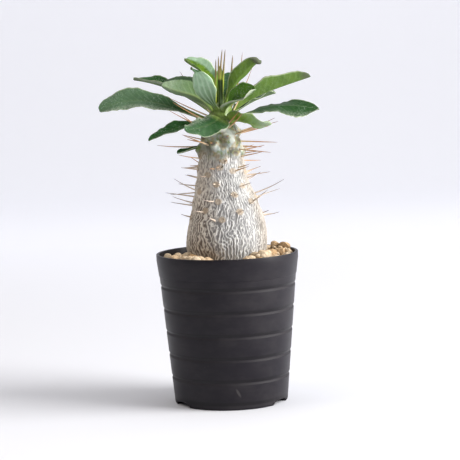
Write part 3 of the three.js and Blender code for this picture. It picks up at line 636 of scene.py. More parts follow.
class Field:
    """A socket of a material, on which Python's operators add Math nodes."""

    def __init__(self, paint, socket):
        self.paint = paint
        self.socket = socket

    def math(self, operation, *values):
        return self.paint.node("ShaderNodeMath", {"operation": operation}, *values)

    def __add__(self, other):
        return self.math("ADD", self, other)

    def __sub__(self, other):
        return self.math("SUBTRACT", self, other)

    def __rsub__(self, other):
        return self.math("SUBTRACT", other, self)

    def __mul__(self, other):
        return self.math("MULTIPLY", self, other)

    __radd__ = __add__
    __rmul__ = __mul__

    def magnitude(self):
        return self.math("ABSOLUTE", self)

    def step(self, low, high):
        """0 below low, 1 above high, and a smooth rise between; high may be the lower one."""
        kind = {"interpolation_type": "SMOOTHSTEP"}
        if low < high:
            return self.paint.node("ShaderNodeMapRange", kind, self, low, high)
        return 1 - self.paint.node("ShaderNodeMapRange", kind, self, high, low)


class Paint:
    """A material or a world under construction."""

    def __init__(self, owner, shader="Principled BSDF", space="Object"):
        owner.use_nodes = True
        self.owner = owner
        self.tree = owner.node_tree
        self.shader = self.tree.nodes[shader]
        self.place = self.node("ShaderNodeTexCoord", {}, output=space)

    def feed(self, socket, value):
        if isinstance(value, Field):
            self.tree.links.new(value.socket, socket)
        else:
            socket.default_value = value

    def node(self, kind, settings, *values, output=0, **named):
        """Adds a node: its settings first, then the values or links of its sockets."""
        made = self.tree.nodes.new(kind)
        for key, value in settings.items():
            setattr(made, key, value)
        for socket, value in zip(made.inputs, values):
            self.feed(socket, value)
        for key, value in named.items():
            self.feed(made.inputs[key], value)
        return Field(self, made.outputs[output])

    def blend(self, factor, first, second):
        """A colour between two, by a factor."""
        made = self.tree.nodes.new("ShaderNodeMix")
        made.data_type = "RGBA"
        for index, value in ((0, factor), (6, first), (7, second)):
            self.feed(made.inputs[index], rgba(value) if index else value)
        return Field(self, made.outputs[2])

    def layers(self, colour, *layers):
        """Colours laid over the first one after another, each by its own factor."""
        for factor, layer in layers:
            colour = self.blend(factor, colour, layer)
        return colour

    def attribute(self, name):
        return self.node("ShaderNodeAttribute", {"attribute_name": name}, output="Fac")

    def cloud(self, size, detail=2.0, roughness=0.5, place=None):
        """Noise from 0 to 1 with lumps of about the given size in millimetres."""
        return self.node(
            "ShaderNodeTexNoise", {}, Vector=place or self.place, Scale=1 / (size * MM),
            Detail=detail, Roughness=roughness,
        )

    def cells(self, size, place=None):
        """Distance to the middle of the nearest of many cells of about the given size."""
        return self.node(
            "ShaderNodeTexVoronoi", {}, Vector=place or self.place, Scale=1 / (size * MM),
        )

    def axis(self, name):
        """One of the object coordinates X, Y and Z, in metres, or of a world's directions."""
        return self.node("ShaderNodeSeparateXYZ", {}, self.place, output=name)

    def stretched(self, x, y, z):
        """Object coordinates, each times a factor, so that a pattern is drawn out."""
        return self.node("ShaderNodeMapping", {}, Vector=self.place, Scale=(x, y, z))

    def bump(self, height, depth, normal=None):
        """A surface normal from a height of 0 to 1 that is depth millimetres deep."""
        named = {"Height": height, "Distance": depth * MM, "Strength": 1.0}
        if normal:
            named["Normal"] = normal
        return self.node("ShaderNodeBump", {}, **named)

    def finish(self, **sockets):
        """Feeds the shader's sockets, named with underscores for spaces."""
        for key, value in sockets.items():
            self.feed(self.shader.inputs[key.replace("_", " ")], value)
        return self.owner


def rgba(value):
    """A colour with its fourth part, or a link as it is."""
    if isinstance(value, Field):
        return value
    return (*tuple(value)[:3], 1.0)


def length_property(name, description, default):
    """A length in metres that the panel shows in the scene's unit."""
    return FloatProperty(
        name=name, description=description, default=default, min=0, precision=5,
        subtype="DISTANCE", unit="LENGTH",
    )


def colour_property(name, description, default):
    """A colour that the panel shows as a swatch."""
    return FloatVectorProperty(
        name=name, description=description, default=default, size=3, min=0, max=1,
        subtype="COLOR",
    )


class PotSettings(bpy.types.PropertyGroup):
    """Sizes and colours of the nursery pot."""

    height: length_property("Height", "From the resting plane to the lip", POT_HIGH.z)
    rim_radius: length_property("Rim radius", "Outside radius at the lip", POT_HIGH.x)
    foot_radius: length_property("Foot radius", "Outside radius at the foot", 0.036)
    wall: length_property("Wall", "Thickness of the wall", 0.0014)
    ring_depth: length_property("Ring depth", "Depth of each moulded ring", 0.00045)
    colour: colour_property("Plastic", "Colour of the plastic", (0.009, 0.007, 0.0112))
    wear_colour: colour_property("Wear", "Colour of rubbed plastic", (0.07, 0.064, 0.064))
    roughness: FloatProperty(
        name="Roughness", description="Roughness of clean plastic", default=0.38,
        min=0, max=1, subtype="FACTOR",
    )


class SoilSettings(bpy.types.PropertyGroup):
    """Sizes and colours of the grit."""

    smallest: length_property("Smallest", "Radius of the smallest large granule", 0.0033)
    largest: length_property("Largest", "Radius of the largest granule", 0.0051)
    fine: length_property("Fine grit", "Radius of the grit between the granules", 0.0013)
    colour: colour_property("Clay", "Colour of fired clay", (0.47, 0.30, 0.155))
    pale_colour: colour_property("Pumice", "Colour of the paler granules", (0.68, 0.55, 0.395))


class StemSettings(bpy.types.PropertyGroup):
    """Sizes and colours of the stem."""

    bark_height: length_property("Bark height", "From a mesh's floor to its ridge", 0.00062)
    ridges: IntProperty(
        name="Ridges", description="Long ridges round the stem in each of the net's two sets",
        default=60, min=8,
    )
    ridge_colour: colour_property("Ridges", "Colour of the net's ridges", (0.63, 0.62, 0.60))
    floor_colour: colour_property("Meshes' floor", "Colour in the meshes", (0.255, 0.25, 0.25))
    # The ridges of the bark's left side, in painted warm light.
    old_horn_and_left_lit_bark: colour_property("Old bark", "Colour of the browner side", (0.72, 0.64, 0.54))
    pad_colour: colour_property("Pads", "Colour of the spines' pads", (0.38, 0.28, 0.18))
    knob_colour: colour_property("Knobs", "Colour of the neck's knobs", (0.20, 0.21, 0.08))
    skin_colour: colour_property("Neck", "Colour of the bare neck", (0.30, 0.35, 0.32))


class SpineSettings(bpy.types.PropertyGroup):
    """Sizes and colours of the spines."""

    radius: length_property("Radius", "Radius of a long spine near its root", 0.00052)
    tip_radius: length_property("Tip radius", "Radius of a spine at its tip", 0.00010)
    colour: colour_property("Horn", "Colour of a spine's middle", (0.48, 0.235, 0.095))
    old_horn_and_left_lit_bark: colour_property("Old horn", "Colour of the oldest spines", (0.30, 0.24, 0.21))


class LeafSettings(bpy.types.PropertyGroup):
    """Sizes and colours of the leaves."""

    thickness: length_property("Thickness", "Thickness of the blade", 0.0007)
    keel: length_property("Keel", "Height of the midrib under the blade", 0.0013)
    upper_colour: colour_property("Upper face", "Colour of old leaves above", (0.019, 0.068, 0.023))
    under_colour: colour_property("Under face", "Colour of leaves beneath", (0.082, 0.135, 0.057))
    margin_colour: colour_property("Margin", "Colour of the leaf's edge", (0.50, 0.56, 0.38))


class StageSettings(bpy.types.PropertyGroup):
    """The floor and the lights."""

    floor_colour: colour_property("Floor", "Colour of the floor and backdrop", (0.695, 0.70, 0.74))
    wall_glow: colour_property("Glow", "Light of the backdrop's own", (0.325, 0.325, 0.35))
    key_power: FloatProperty(name="Window", description="Power of the main light", default=28.0, min=0)
    fill_power: FloatProperty(name="Fill", description="Power of the other light", default=4.2, min=0)
    ambient: FloatProperty(name="Room", description="Strength of the room's light", default=1.05, min=0)
    front_dimming: FloatProperty(
        name="Front", description="Share of the room's light that comes from behind the viewer",
        default=0.17, min=0, max=1, subtype="FACTOR",
    )


def pot_radius(settings, z):
    """Outer radius of the pot's tapered wall at a height, below the rim band."""
    foot = settings.foot_radius / MM
    rim = settings.rim_radius / MM - BAND_PROUD
    return lerp(foot, rim, z / (settings.height / MM))


def pot_outline(settings):
    """The wall's closed profile: under the floor, up the outside, over the lip and down inside."""
    top = settings.height / MM
    rim = settings.rim_radius / MM
    wall = settings.wall / MM
    depth = settings.ring_depth / MM
    foot = settings.foot_radius / MM
    outline = [(0, 0), (foot - FOOT_FLAT, 0), (foot - EDGE_ROUND, 0)]
    outline += [
        (foot - EDGE_ROUND * (1 - math.sin(angle)), EDGE_ROUND * (1 - math.cos(angle)))
        for angle in QUARTER_TURN[1:]
    ]
    for ring in range(RING_COUNT - 1, -1, -1):
        middle = RING_TOP - ring * RING_PITCH
        for i in range(-RING_STEPS, RING_STEPS + 1):
            z = middle + RING_HALF * i / RING_STEPS
            dip = depth * (0.5 + 0.5 * math.cos(math.pi * i / RING_STEPS))
            outline.append((pot_radius(settings, z) - dip, z))
    for above, share in BAND_STEPS:
        radius = pot_radius(settings, BAND_BOTTOM + min(above, 0))
        outline.append((radius + BAND_PROUD * share, BAND_BOTTOM + above))
    outline.append((rim - BAND_DRAFT, top - BAND_TOP_MARGIN))
    lip = [(LIP_ROUND * (1 - math.cos(angle)), LIP_ROUND * (1 - math.sin(angle))) for angle in QUARTER_TURN]
    inner = pot_radius(settings, top) - wall
    outline += [(rim - inwards, top - down) for inwards, down in lip]
    outline += [(inner + outwards, top - down) for outwards, down in reversed(lip)]
    outline += [(pot_radius(settings, z) - wall, z) for z in (*INNER_ROWS, wall + 1)]
    outline += [(pot_radius(settings, wall) - wall - 1, wall), (0, wall)]
    return outline


def channel_azimuth(index):
    """Direction of a drainage channel from the pot's centre."""
    return math.pi / 2 + index * TURN / CHANNEL_COUNT


def channel_bar(index, margin, low, end):
    """A bar with an arched top along a channel of the floor, grown by a margin."""
    half = CHANNEL_WIDTH / 2 + margin
    top = CHANNEL_HEIGHT + margin
    angles = [i * math.pi / ARCH_STEPS for i in range(ARCH_STEPS + 1)]
    arch = [(half * math.cos(a), max(low, top * math.sin(a) ** ARCH_FULLNESS)) for a in angles]
    start = CHANNEL_START - margin
    bm = bmesh.new()
    outline = [(half, low), *arch, (-half, low)]
    face = bm.faces.new([bm.verts.new((start * MM, y * MM, z * MM)) for y, z in outline])
    grown = bmesh.ops.extrude_face_region(bm, geom=[face])["geom"]
    verts = [item for item in grown if isinstance(item, bmesh.types.BMVert)]
    bmesh.ops.translate(bm, verts=verts, vec=((end - start) * MM, 0, 0))
    turn = Matrix.Rotation(channel_azimuth(index), 3, "Z")
    bmesh.ops.rotate(bm, verts=bm.verts, cent=(0, 0, 0), matrix=turn)
    return mesh_from(bm, "channel", WELD)


def drain_bar(index, place):
    """A round bar that pierces the roof of a channel."""
    spot = Vector((*polar(place, channel_azimuth(index)), DRAIN_MIDDLE)) * MM
    bm = bmesh.new()
    bmesh.ops.create_cone(
        bm, cap_ends=True, segments=DRAIN_SIDES, radius1=DRAIN_RADIUS * MM,
        radius2=DRAIN_RADIUS * MM, depth=DRAIN_DEPTH * MM, matrix=Matrix.Translation(spot),
    )
    return mesh_from(bm, "drain")


def plastic(settings):
    """Black moulded plastic, soft sheen, wiped dust, a few rubbed spots, painted shade and light at rings.
    """
    paint = Paint(bpy.data.materials.new("pot_plastic"))
    wiped = paint.cloud(22, detail=4, roughness=0.6, place=paint.stretched(1, 1, 2.2))
    specks = paint.cells(2.6).step(0.10, 0.03) * paint.cloud(9).step(0.52, 0.62)
    scratch = paint.node(
        "ShaderNodeMapping", {"vector_type": "TEXTURE"}, Vector=paint.place,
        Location=Vector(SCRATCH_PLACE) * MM, Rotation=(0, math.radians(SCRATCH_LEAN), 0),
        Scale=Vector(SCRATCH_REACH) * MM,
    )
    rubbed = paint.node("ShaderNodeVectorMath", {"operation": "LENGTH"}, scratch, output="Value")
    worn = rubbed.step(1.0, 0.35) * (0.55 + 0.45 * paint.cloud(1.2, detail=3))
    haze = wiped.step(0.35, 0.8)
    ring = paint.axis("Z") * (1 / (RING_PITCH * MM)) - (RING_TOP - RING_HALF) / RING_PITCH + RING_COUNT
    ring = ring.math("FRACT", ring)
    groove = 2 * RING_HALF / RING_PITCH
    below_band = paint.axis("Z").step((BAND_BOTTOM + 3) * MM, (BAND_BOTTOM + 2) * MM)
    # Dust in the lower flank of each ring, whose pale tone is also a painted highlight there.
    dust_and_highlight = ring.step(-0.02, 0.06) * ring.step(0.66 * groove, 0.36 * groove) * below_band
    # Painted shade on the upper flank of each ring, which faces down, away from the light.
    groove_shade = ring.step(0.48 * groove, 0.66 * groove) * ring.step(1.3 * groove, 1.0 * groove) * below_band
    tint = paint.layers(
        settings.colour,
        (haze * 0.20, settings.wear_colour),
        (dust_and_highlight * 0.14, settings.wear_colour),
        (groove_shade * 0.5, GROOVE_SHADE_BLACK),
        (worn * 0.9 + specks * 0.5, settings.wear_colour),
    )
    grain = paint.cloud(0.35, detail=3)
    return paint.finish(
        Base_Color=tint,
        Roughness=settings.roughness + 0.10 * haze + 0.15 * worn + 0.22 * dust_and_highlight,
        Normal=paint.bump(grain, 0.012, paint.bump(wiped, 0.10)),
        Specular_IOR_Level=0.24,
    )


class LILY_OT_pot(bpy.types.Operator):
    """Make the nursery pot with its rings, rim band, drainage channels and holes"""

    bl_idname = "lily.pot"
    bl_label = "Pot"

    def execute(self, context):
        settings = context.scene.lily_pot
        foot = settings.foot_radius / MM
        wall = settings.wall / MM
        steps = []
        for index in range(CHANNEL_COUNT):
            steps.append(("UNION", channel_bar(index, wall, wall / 2, foot - wall / 2)))
        for index in range(CHANNEL_COUNT):
            steps.append(("DIFFERENCE", channel_bar(index, 0, CUT_BELOW, foot + CUT_PAST)))
            steps += [("DIFFERENCE", drain_bar(index, place)) for place in DRAIN_PLACES]
        mesh = carve(lathe("pot_body", pot_outline(settings), POT_SIDES), steps)
        piece = place_piece("pot_body", mesh, plastic(settings), ["pot"])
        piece.data.set_sharp_from_angle(angle=math.radians(SHARP_ANGLE))
        return {"FINISHED"}


def soil_height(x, y):
    """Level of the grit under its granules."""
    level = BED_LEVEL
    for place_x, place_y, rise, spread in MOUNDS:
        away = math.hypot(x - place_x, y - place_y) / spread
        level += rise * math.exp(-away * away / 2)
    return level


def grit(settings):
    """Dry fired clay and pumice, chalky and pitted, each granule with its own tone, and painted shade."""
    paint = Paint(bpy.data.materials.new("soil_grit"))
    tone = paint.attribute("tone")
    mottled = paint.cloud(1.6, detail=4, roughness=0.65)
    pits = paint.cells(0.9).step(0.05, 0.42)
    dusty = (tone * 0.75 + mottled * 0.5 - 0.12).step(0.05, 0.95)
    tint = paint.layers(
        settings.colour,
        (dusty, settings.pale_colour),
        # Painted shade in the pits, and painted shadow where lit is low.
        ((1 - pits) * 0.45, GRIT_PIT_SHADE),
        ((1 - paint.attribute("lit")) * 0.75, GRIT_SHADOW),
    )
    relief = paint.bump(mottled, 0.35, paint.bump(pits, 0.18))
    return paint.finish(Base_Color=tint, Roughness=0.93, Normal=relief, Specular_IOR_Level=0.25)


def chipped_spheres(count, detail, facets, seed):
    """A mesh of unit spheres that random planes have cut and wear has rounded again."""
    bm = bmesh.new()
    for _ in range(count):
        bmesh.ops.create_icosphere(bm, subdivisions=detail, radius=1)
    mesh = mesh_from(bm, "granules")
    directions = coordinates(mesh).reshape(count, -1, 3) * MM
    generator = np.random.default_rng(seed)
    planes = generator.normal(size=(count, facets, 3))
    planes /= np.linalg.norm(planes, axis=2)[:, :, None]
    depths = generator.uniform(*CHIP_DEPTH, (count, 1, facets))
    reach = depths / np.maximum(np.einsum("nvk,nfk->nvf", directions, planes), 0.05)
    radius = (1 + (reach ** -FACET_WEAR).sum(-1)) ** (-1 / FACET_WEAR)
    return mesh, directions * radius[:, :, None]


def make_granules(places, detail, facets, seed):
    """Granules at places of x, y, z and size, each with its own chips, stretch, turn and tone."""
    mesh, points = chipped_spheres(len(places), detail, facets, seed)
    generator = np.random.default_rng(seed + 1)
    places = np.array(places)
    for i, (x, y, z, size) in enumerate(places):
        stretch = (1, *(generator.uniform(*ends) for ends in GRANULE_STRETCH))
        turn = Matrix.Rotation(generator.uniform(0, TURN), 3, "Z")
        turn = turn @ Matrix.Rotation(generator.uniform(-GRANULE_TILT, GRANULE_TILT), 3, "X")
        points[i] = (points[i] * stretch) @ np.array(turn).T * size + (x, y, z)
    flat = points.reshape(-1, 3)
    sizes = np.repeat(places[:, 3], points.shape[1])
    middles = np.repeat(places[:, :3], points.shape[1], axis=0)
    rough = sum(share * cloudy(flat, size, seed) for share, size in ((0.5, 1.7), (0.3, 0.8), (0.2, 0.4)))
    pits = smoothstep(0.35, 0.75, cloudy(flat, 0.65, seed + 3))
    swell = 1 + 0.13 * rough - 0.05 * pits
    flat = middles + (flat - middles) * swell[:, None]
    move_points(mesh, flat)
    height = (flat[:, 2] - middles[:, 2]) / sizes
    write_attribute(mesh, "tone", np.repeat(generator.uniform(0, 1, len(places)), points.shape[1]))
    # lit holds painted light: lower on each granule's underside and in its pits, as shade.
    write_attribute(mesh, "lit", np.clip(0.62 + 0.75 * height, 0, 1) - 0.3 * pits)
    return mesh


class LILY_OT_soil(bpy.types.Operator):
    """Make the bed of grit and the granules that cover it"""

    bl_idname = "lily.soil"
    bl_label = "Grit"

    def execute(self, context):
        pot = context.scene.lily_pot
        settings = context.scene.lily_soil
        material = grit(settings)
        self.make_bed(pot, material)
        self.make_granules(pot, settings, material)
        return {"FINISHED"}

    def make_bed(self, pot, material):
        """One closed body from the floor up to the level of the mounds, with the stem's hole."""
        wall = pot.wall / MM
        floor = wall + GAP
        inside = pot_radius(pot, BED_LEVEL) - wall - GAP
        heights = np.linspace(STEM_BOTTOM, BED_LEVEL, HOLE_ROWS)
        hole = [(stem_radius(z) + STEM_CLEARANCE, z) for z in heights]
        outline = [(0, floor), (pot_radius(pot, floor) - wall - GAP, floor), (inside, BED_LEVEL)]
        rings = np.linspace(inside, hole[-1][0], BED_RINGS)
        outline += [(radius, BED_LEVEL) for radius in rings[1:-1]]
        outline += [(radius, z) for radius, z in reversed(hole[1:])] + [(0, STEM_BOTTOM - GAP)]
        end = pot.foot_radius / MM + CUT_PAST
        bars = [channel_bar(index, wall + GAP, CUT_BELOW, end) for index in range(CHANNEL_COUNT)]
        mesh = carve(lathe("soil_bed", outline, BED_SIDES), [("DIFFERENCE", bar) for bar in bars])
        points = coordinates(mesh)
        top = points[:, 2] > BED_LEVEL - 0.01
        rough = cloudy(points, 2.4) * 0.7 + cloudy(points, 0.9, 3) * 0.3
        for i in np.nonzero(top)[0]:
            x, y, _ = points[i]
            points[i, 2] = soil_height(x, y) - BED_SINK + rough[i]
        move_points(mesh, points)
        write_attribute(mesh, "tone", 0.25 + 0.2 * rough)
        # lit gives the bed between the granules painted shadow.
        write_attribute(mesh, "lit", np.where(top, 0.32, 0.0))
        place_piece("soil_bed", mesh, material, ["soil"])

    def make_granules(self, pot, settings, material):
        """The large granules in their rings, then fine grit in the gaps between them."""
        draw = seeded_draw(GRIT_SEED)
        smallest, largest = settings.smallest / MM, settings.largest / MM
        limit = pot_radius(pot, BED_LEVEL) - pot.wall / MM - GAP
        large, fine = [], []
        for ring, count in GRANULE_RINGS:
            for i in range(count):
                azimuth = (i + GRANULE_SCATTER * draw()) * TURN / count
                size = lerp(smallest, largest, draw())
                radius = min(ring + GRANULE_SCATTER * (2 * draw() - 1), limit - size * GRANULE_INSET)
                x, y = polar(radius, azimuth)
                large.append((x, y, soil_height(x, y) + size * lerp(*GRANULE_PROUD, draw()), size))
        for _ in range(FINE_COUNT):
            azimuth = draw() * TURN
            size = settings.fine / MM * lerp(*FINE_SIZES, draw())
            radius = lerp(FINE_START, limit - size, draw() ** FINE_GATHERING)
            x, y = polar(radius, azimuth)
            fine.append((x, y, soil_height(x, y) + lerp(*FINE_PROUD, draw()), size))
        for (name, looks), places in zip(GRIT_PIECES.items(), (large, fine)):
            place_piece(name, make_granules(places, *looks), material)


def all_pads():
    """Pads of the side that is looked at, then those of the back in the plant's own spiral."""
    pads = list(PADS)
    low, high = BACK_PAD_ARC
    for i in range(BACK_PAD_COUNT):
        share = i / (BACK_PAD_COUNT - 1)
        turned = (BACK_PAD_START + i * SPIRAL_TURN) % 360
        azimuth = lerp(low, high, turned / 360)
        swelling = lerp(*BACK_PAD_SWELLING, share * share)
        pads.append((azimuth, lerp(*BACK_PAD_HEIGHTS, share), swelling))
    return pads


def wrapped(angle):
    """An angle, or an array of them, between -pi and pi."""
    return (angle + math.pi) % TURN - math.pi


def bark_ridges(points, azimuth, count, seed):
    """Height from 0 to 1 of a family of long ridges that wander from side to side."""
    sway = RIDGE_WANDER * (cloudy(points, 3.3, seed) + 0.45 * cloudy(points, 1.6, seed + 1))
    lean = RIDGE_LEAN * cloudy(points, 19, seed + 2)
    place = azimuth / TURN * count + sway + lean
    away = np.abs(place - np.round(place))
    strength = 0.75 + 0.5 * cloudy(points * (1, 1, 0.5), 2.8, seed + 3)
    return np.clip(strength, 0.15, 1) * np.exp(-((away / RIDGE_SHARE) ** 2))


def bark(settings):
    """Grey bark in a raised net, tan pads and the green skin of the neck, with painted light and shade."""
    paint = Paint(bpy.data.materials.new("stem_bark"))
    ridge, scaly, pad, scar, neck, lump, cushion, side = map(paint.attribute, STEM_MASKS)
    fine = paint.cloud(0.7, detail=5, roughness=0.7)
    broad = paint.cloud(16, detail=2)
    fibres = paint.cloud(1.1, detail=4, roughness=0.6, place=paint.stretched(1, 1, 0.22))
    scales = paint.cells(1.5, place=paint.stretched(1, 1, 0.55)).step(0.62, 0.2)
    worn = (ridge * (1 - 0.3 * scaly) + scaly * (0.15 + 0.4 * scales) + (fibres - 0.5) * 0.5).step(0.0, 0.7)
    # Painted warm light and shade on the stem's left side: warmer ridges, darker meshes, a browner neck.
    painted_left_light = (paint.axis("X") + (broad - 0.5) * 0.012).step(-0.001, -0.016)
    net = paint.layers(
        settings.floor_colour,
        (worn, settings.ridge_colour),
        (painted_left_light * 0.9, paint.blend(worn, LEFT_SHADE_BARK_FLOOR, settings.old_horn_and_left_lit_bark)),
        (broad.step(0.5, 0.3) * 0.2, BLUE_BARK),
        # Painted shade that dims the stem's right edge, which faces the window light.
        (side.step(0.66, 0.95) * 0.85, paint.blend(worn, RIGHT_EDGE_SHADE_FLOOR, RIGHT_EDGE_SHADE_RIDGE)),
    )
    skin = paint.layers(
        settings.skin_colour,
        (paint.cloud(5, detail=3).step(0.45, 0.6), NECK_TAN),
        (paint.cloud(3.5, detail=2).step(0.52, 0.64), NECK_OLIVE),
        (fibres.step(0.5, 0.7) * 0.5, NECK_GREY),
        # Painted shade on the neck's left side.
        (painted_left_light * 0.5, NECK_LEFT_SHADE),
        # Painted shade in the neck's dips, and pale wax with a painted highlight on its lumps, weaker on
        # the left.
        (lump.step(-0.10, -0.45) * 0.75, NECK_DIP_SHADE),
        (lump.step(0.05, 0.45) * (0.75 - 0.35 * painted_left_light), NECK_WAX_AND_HIGHLIGHT),
    )
    tan = paint.blend(fine.step(0.35, 0.7), settings.pad_colour, PALE_PAD)
    knob = paint.blend(scar, settings.knob_colour, SCAR_BROWN)
    patchy = (pad + (paint.cloud(1.8, detail=4, roughness=0.7) - 0.5) * 1.3).step(0.25, 0.95)
    tint = paint.layers(
        net, (neck, skin), (patchy * 0.7, paint.blend(neck, tan, knob)), (cushion, CUSHION_GREEN),
    )
    relief = paint.bump(fine, 0.16, paint.bump(fibres, 0.25))
    return paint.finish(
        Base_Color=tint,
        Roughness=0.80 - 0.52 * (neck * (1 - 0.7 * pad)),
        Normal=paint.bump(scales * scaly, 0.25, relief),
    )


class LILY_OT_stem(bpy.types.Operator):
    """Make the swollen stem with its net of bark, its pads and its bare neck"""

    bl_idname = "lily.stem"
    bl_label = "Stem"

    def execute(self, context):
        settings = context.scene.lily_stem
        rows = [STEM_BOTTOM, *np.linspace(STEM_BOTTOM + 2, BARK_BOTTOM - 2, ROOT_ROWS)]
        rows += [*np.linspace(BARK_BOTTOM, STEM_TOP - 0.3, BARK_ROWS), STEM_TOP]
        profile = [(stem_radius(z), z) for z in rows]
        profile[0] = (0, STEM_BOTTOM)
        profile[-1] = (0, STEM_TOP)
        mesh = lathe("stem_body", profile, STEM_SIDES)
        points = coordinates(mesh)
        azimuth = np.arctan2(points[:, 1], points[:, 0])
        z = points[:, 2]
        radius = np.hypot(points[:, 0], points[:, 1])
        ridge, relief = self.bark_net(settings, points, azimuth)
        pad, scar, pad_swelling = self.pad_swelling(azimuth, z)
        cushion, cushion_swelling = self.leaf_cushions(azimuth, z)
        neck = smoothstep(BARK_TOP - BARK_FADE, BARK_TOP, z + 6 * cloudy(points, 8, 5))
        strength = smoothstep(BARK_BOTTOM, BARK_BOTTOM + 5, z) * (1 - neck) * (1 - 0.75 * pad)
        wrinkles = cloudy(points * (1, 1, 0.35), 1.1, 2) * NECK_WRINKLES * neck
        broad = cloudy(points, 9, 8) * BROAD_LUMPS
        lumps = broad * smoothstep(70, 90, z) * smoothstep(STEM_TOP, 180, z)
        lump = cloudy(points, 3.4, 14) * neck
        lumps += NECK_LUMPS * lump * smoothstep(STEM_TOP, 182, z)
        swollen = radius + relief * strength + pad_swelling + cushion_swelling + wrinkles + lumps
        swollen = np.where(radius < 0.01, radius, swollen)
        across = swollen * np.cos(azimuth) + stem_shift(z)
        placed = np.stack([across, swollen * np.sin(azimuth), z], -1)
        move_points(mesh, placed)
        scaly = smoothstep(*SCALY_FROM, z + 4 * cloudy(points, 8, 6)) * (1 - neck)
        # side, the cosine of the azimuth, places the painted shade of the right edge.
        masks = (ridge * strength, scaly, pad, scar, neck, lump, cushion, np.cos(azimuth))
        for name, values in zip(STEM_MASKS, masks):
            write_attribute(mesh, name, values)
        place_piece("stem_body", mesh, bark(settings), ["stem"])
        return {"FINISHED"}

    def bark_net(self, settings, points, azimuth):
        """Share of the ridge's height at each point, and the relief in millimetres."""
        families = (bark_ridges(points, azimuth, settings.ridges, seed) for seed in RIDGE_SEEDS)
        ridge = np.maximum(*families)
        small = cloudy(points * (1, 1, 0.6), 1.0, 37)
        ridge = np.clip(ridge + 0.22 * small * (1 - ridge), 0, 1)
        return ridge, settings.bark_height / MM * (ridge - 0.5)

    def pad_swelling(self, azimuth, z):
        """Masks of the pads and of the scars on them, and the height by which they swell."""
        mask, scar, swelling = np.zeros_like(z), np.zeros_like(z), np.zeros_like(z)
        radius = stem_radius(z)
        for turned, height, rise in all_pads():
            across = wrapped(azimuth - math.radians(turned)) * radius
            away = np.hypot(across / PAD_WIDENING, z - height) / PAD_SPREAD
            swelling += PAD_HEIGHT * rise * np.exp(-(away**2.6) / 1.7)
            swelling -= SCAR_DEPTH * np.exp(-((away / 0.3) ** 2))
            mask = np.maximum(mask, smoothstep(1.15, 0.45, away))
            scar = np.maximum(scar, smoothstep(0.62, 0.4, away))
        return mask, scar, swelling

    def leaf_cushions(self, azimuth, z):
        """Mask and swelling of the green cushions from which the leaves grow."""
        mask = np.zeros_like(z)
        swelling = np.zeros_like(z)
        radius = np.maximum(stem_radius(z), 1.0)
        for leaf in leaf_records():
            across = wrapped(azimuth - leaf_azimuth(leaf)) * radius
            away = np.hypot(across, (z - leaf["root"] + 1) / 1.3) / CUSHION_REACH
            swelling += CUSHION_HEIGHT * np.exp(-away * away / 2)
            mask = np.maximum(mask, smoothstep(1.4, 0.5, away))
        crown = smoothstep(*CROWN_GREEN_FROM, z + 1.5 * np.sin(3 * azimuth + z))
        return np.maximum(mask, crown), swelling


def leaf_records():
    """The leaves' rows, filled up with the shared values."""
    return [{**LEAF_DEFAULTS, **leaf} for leaf in LEAVES]


def leaf_azimuth(leaf):
    """Direction in which a leaf leaves the stem."""
    x, y, _ = leaf["rib"][0]
    return math.atan2(y, x - float(stem_shift(leaf["root"])))


def paired_spines(pads, lengths, lifts, splay, facing, seed):
    """Two spines for each pad, splayed to either side, and turned from the pad to the viewer."""
    draw = seeded_draw(seed)
    spines = []
    for azimuth, height, _ in pads:
        for side in (-1, 1):
            length = lerp(*lengths, draw())
            heading = math.radians(lerp(azimuth, VIEWER_AZIMUTH, facing) + side * splay)
            lift = math.radians(lerp(*lifts, draw()))
            radius = float(stem_radius(height))
            angle = math.radians(azimuth) + side * PAIR_OFFSET / radius
            x, y = polar(radius, angle)
            ahead, aside = polar(length * math.cos(lift), heading)
            x += float(stem_shift(height)) + ahead
            tip = (x, y + aside, height + length * math.sin(lift))
            spines.append((math.degrees(angle), height, *tip))
    return spines


def bare_pads():
    """Pads that face the viewer and from which no spine of the table grows."""
    low, high = FACING_ARC
    pads = []
    for azimuth, height, rise in PADS:
        taken = any(
            abs(azimuth - spine[0]) < CLEAR_TURN and abs(height - spine[1]) < CLEAR_HEIGHT
            for spine in SPINES
        )
        if low < azimuth < high and height < FACING_TOP and not taken:
            pads.append((azimuth, height, rise))
    return pads


def crown_hollow_shade(paint):
    """1 in the hollow between the young leaves at the middle of the crown, which gets painted shade."""
    across, height = paint.axis("X") * (1 / MM), paint.axis("Z") * (1 / MM)
    return across.step(*HOLLOW_LEFT) * across.step(*HOLLOW_RIGHT) * height.step(*HOLLOW_TOP)


def horn(settings):
    """Spines: orange-brown horn, dark tip, grey where old, yellow-green where new, painted shade in hollow.
    """
    paint = Paint(bpy.data.materials.new("spine_horn"))
    tip = paint.attribute("tip")
    age = paint.attribute("age")
    streaks = paint.cloud(2.5, detail=3)
    fresh = paint.blend(tip.step(0.0, 0.6), PALE_HORN, settings.colour)
    old = paint.blend(tip.step(0.2, 0.95), OLD_PALE_HORN, settings.old_horn_and_left_lit_bark)
    green = paint.attribute("green")
    tint = paint.layers(
        fresh,
        ((age + (streaks - 0.5) * 0.4).step(0.2, 0.8), old),
        (green, CROWN_HORN),
        (green * tip.step(0.72, 0.42), GREEN_HORN),
        # Painted shade in the crown's hollow.
        (crown_hollow_shade(paint) * 0.95, HORN_HOLLOW_SHADE),
        (tip.step(0.8, 1.0) * 0.5, HORN_TIP),
    )
    return paint.finish(Base_Color=tint, Roughness=0.45, Normal=paint.bump(streaks, 0.08))


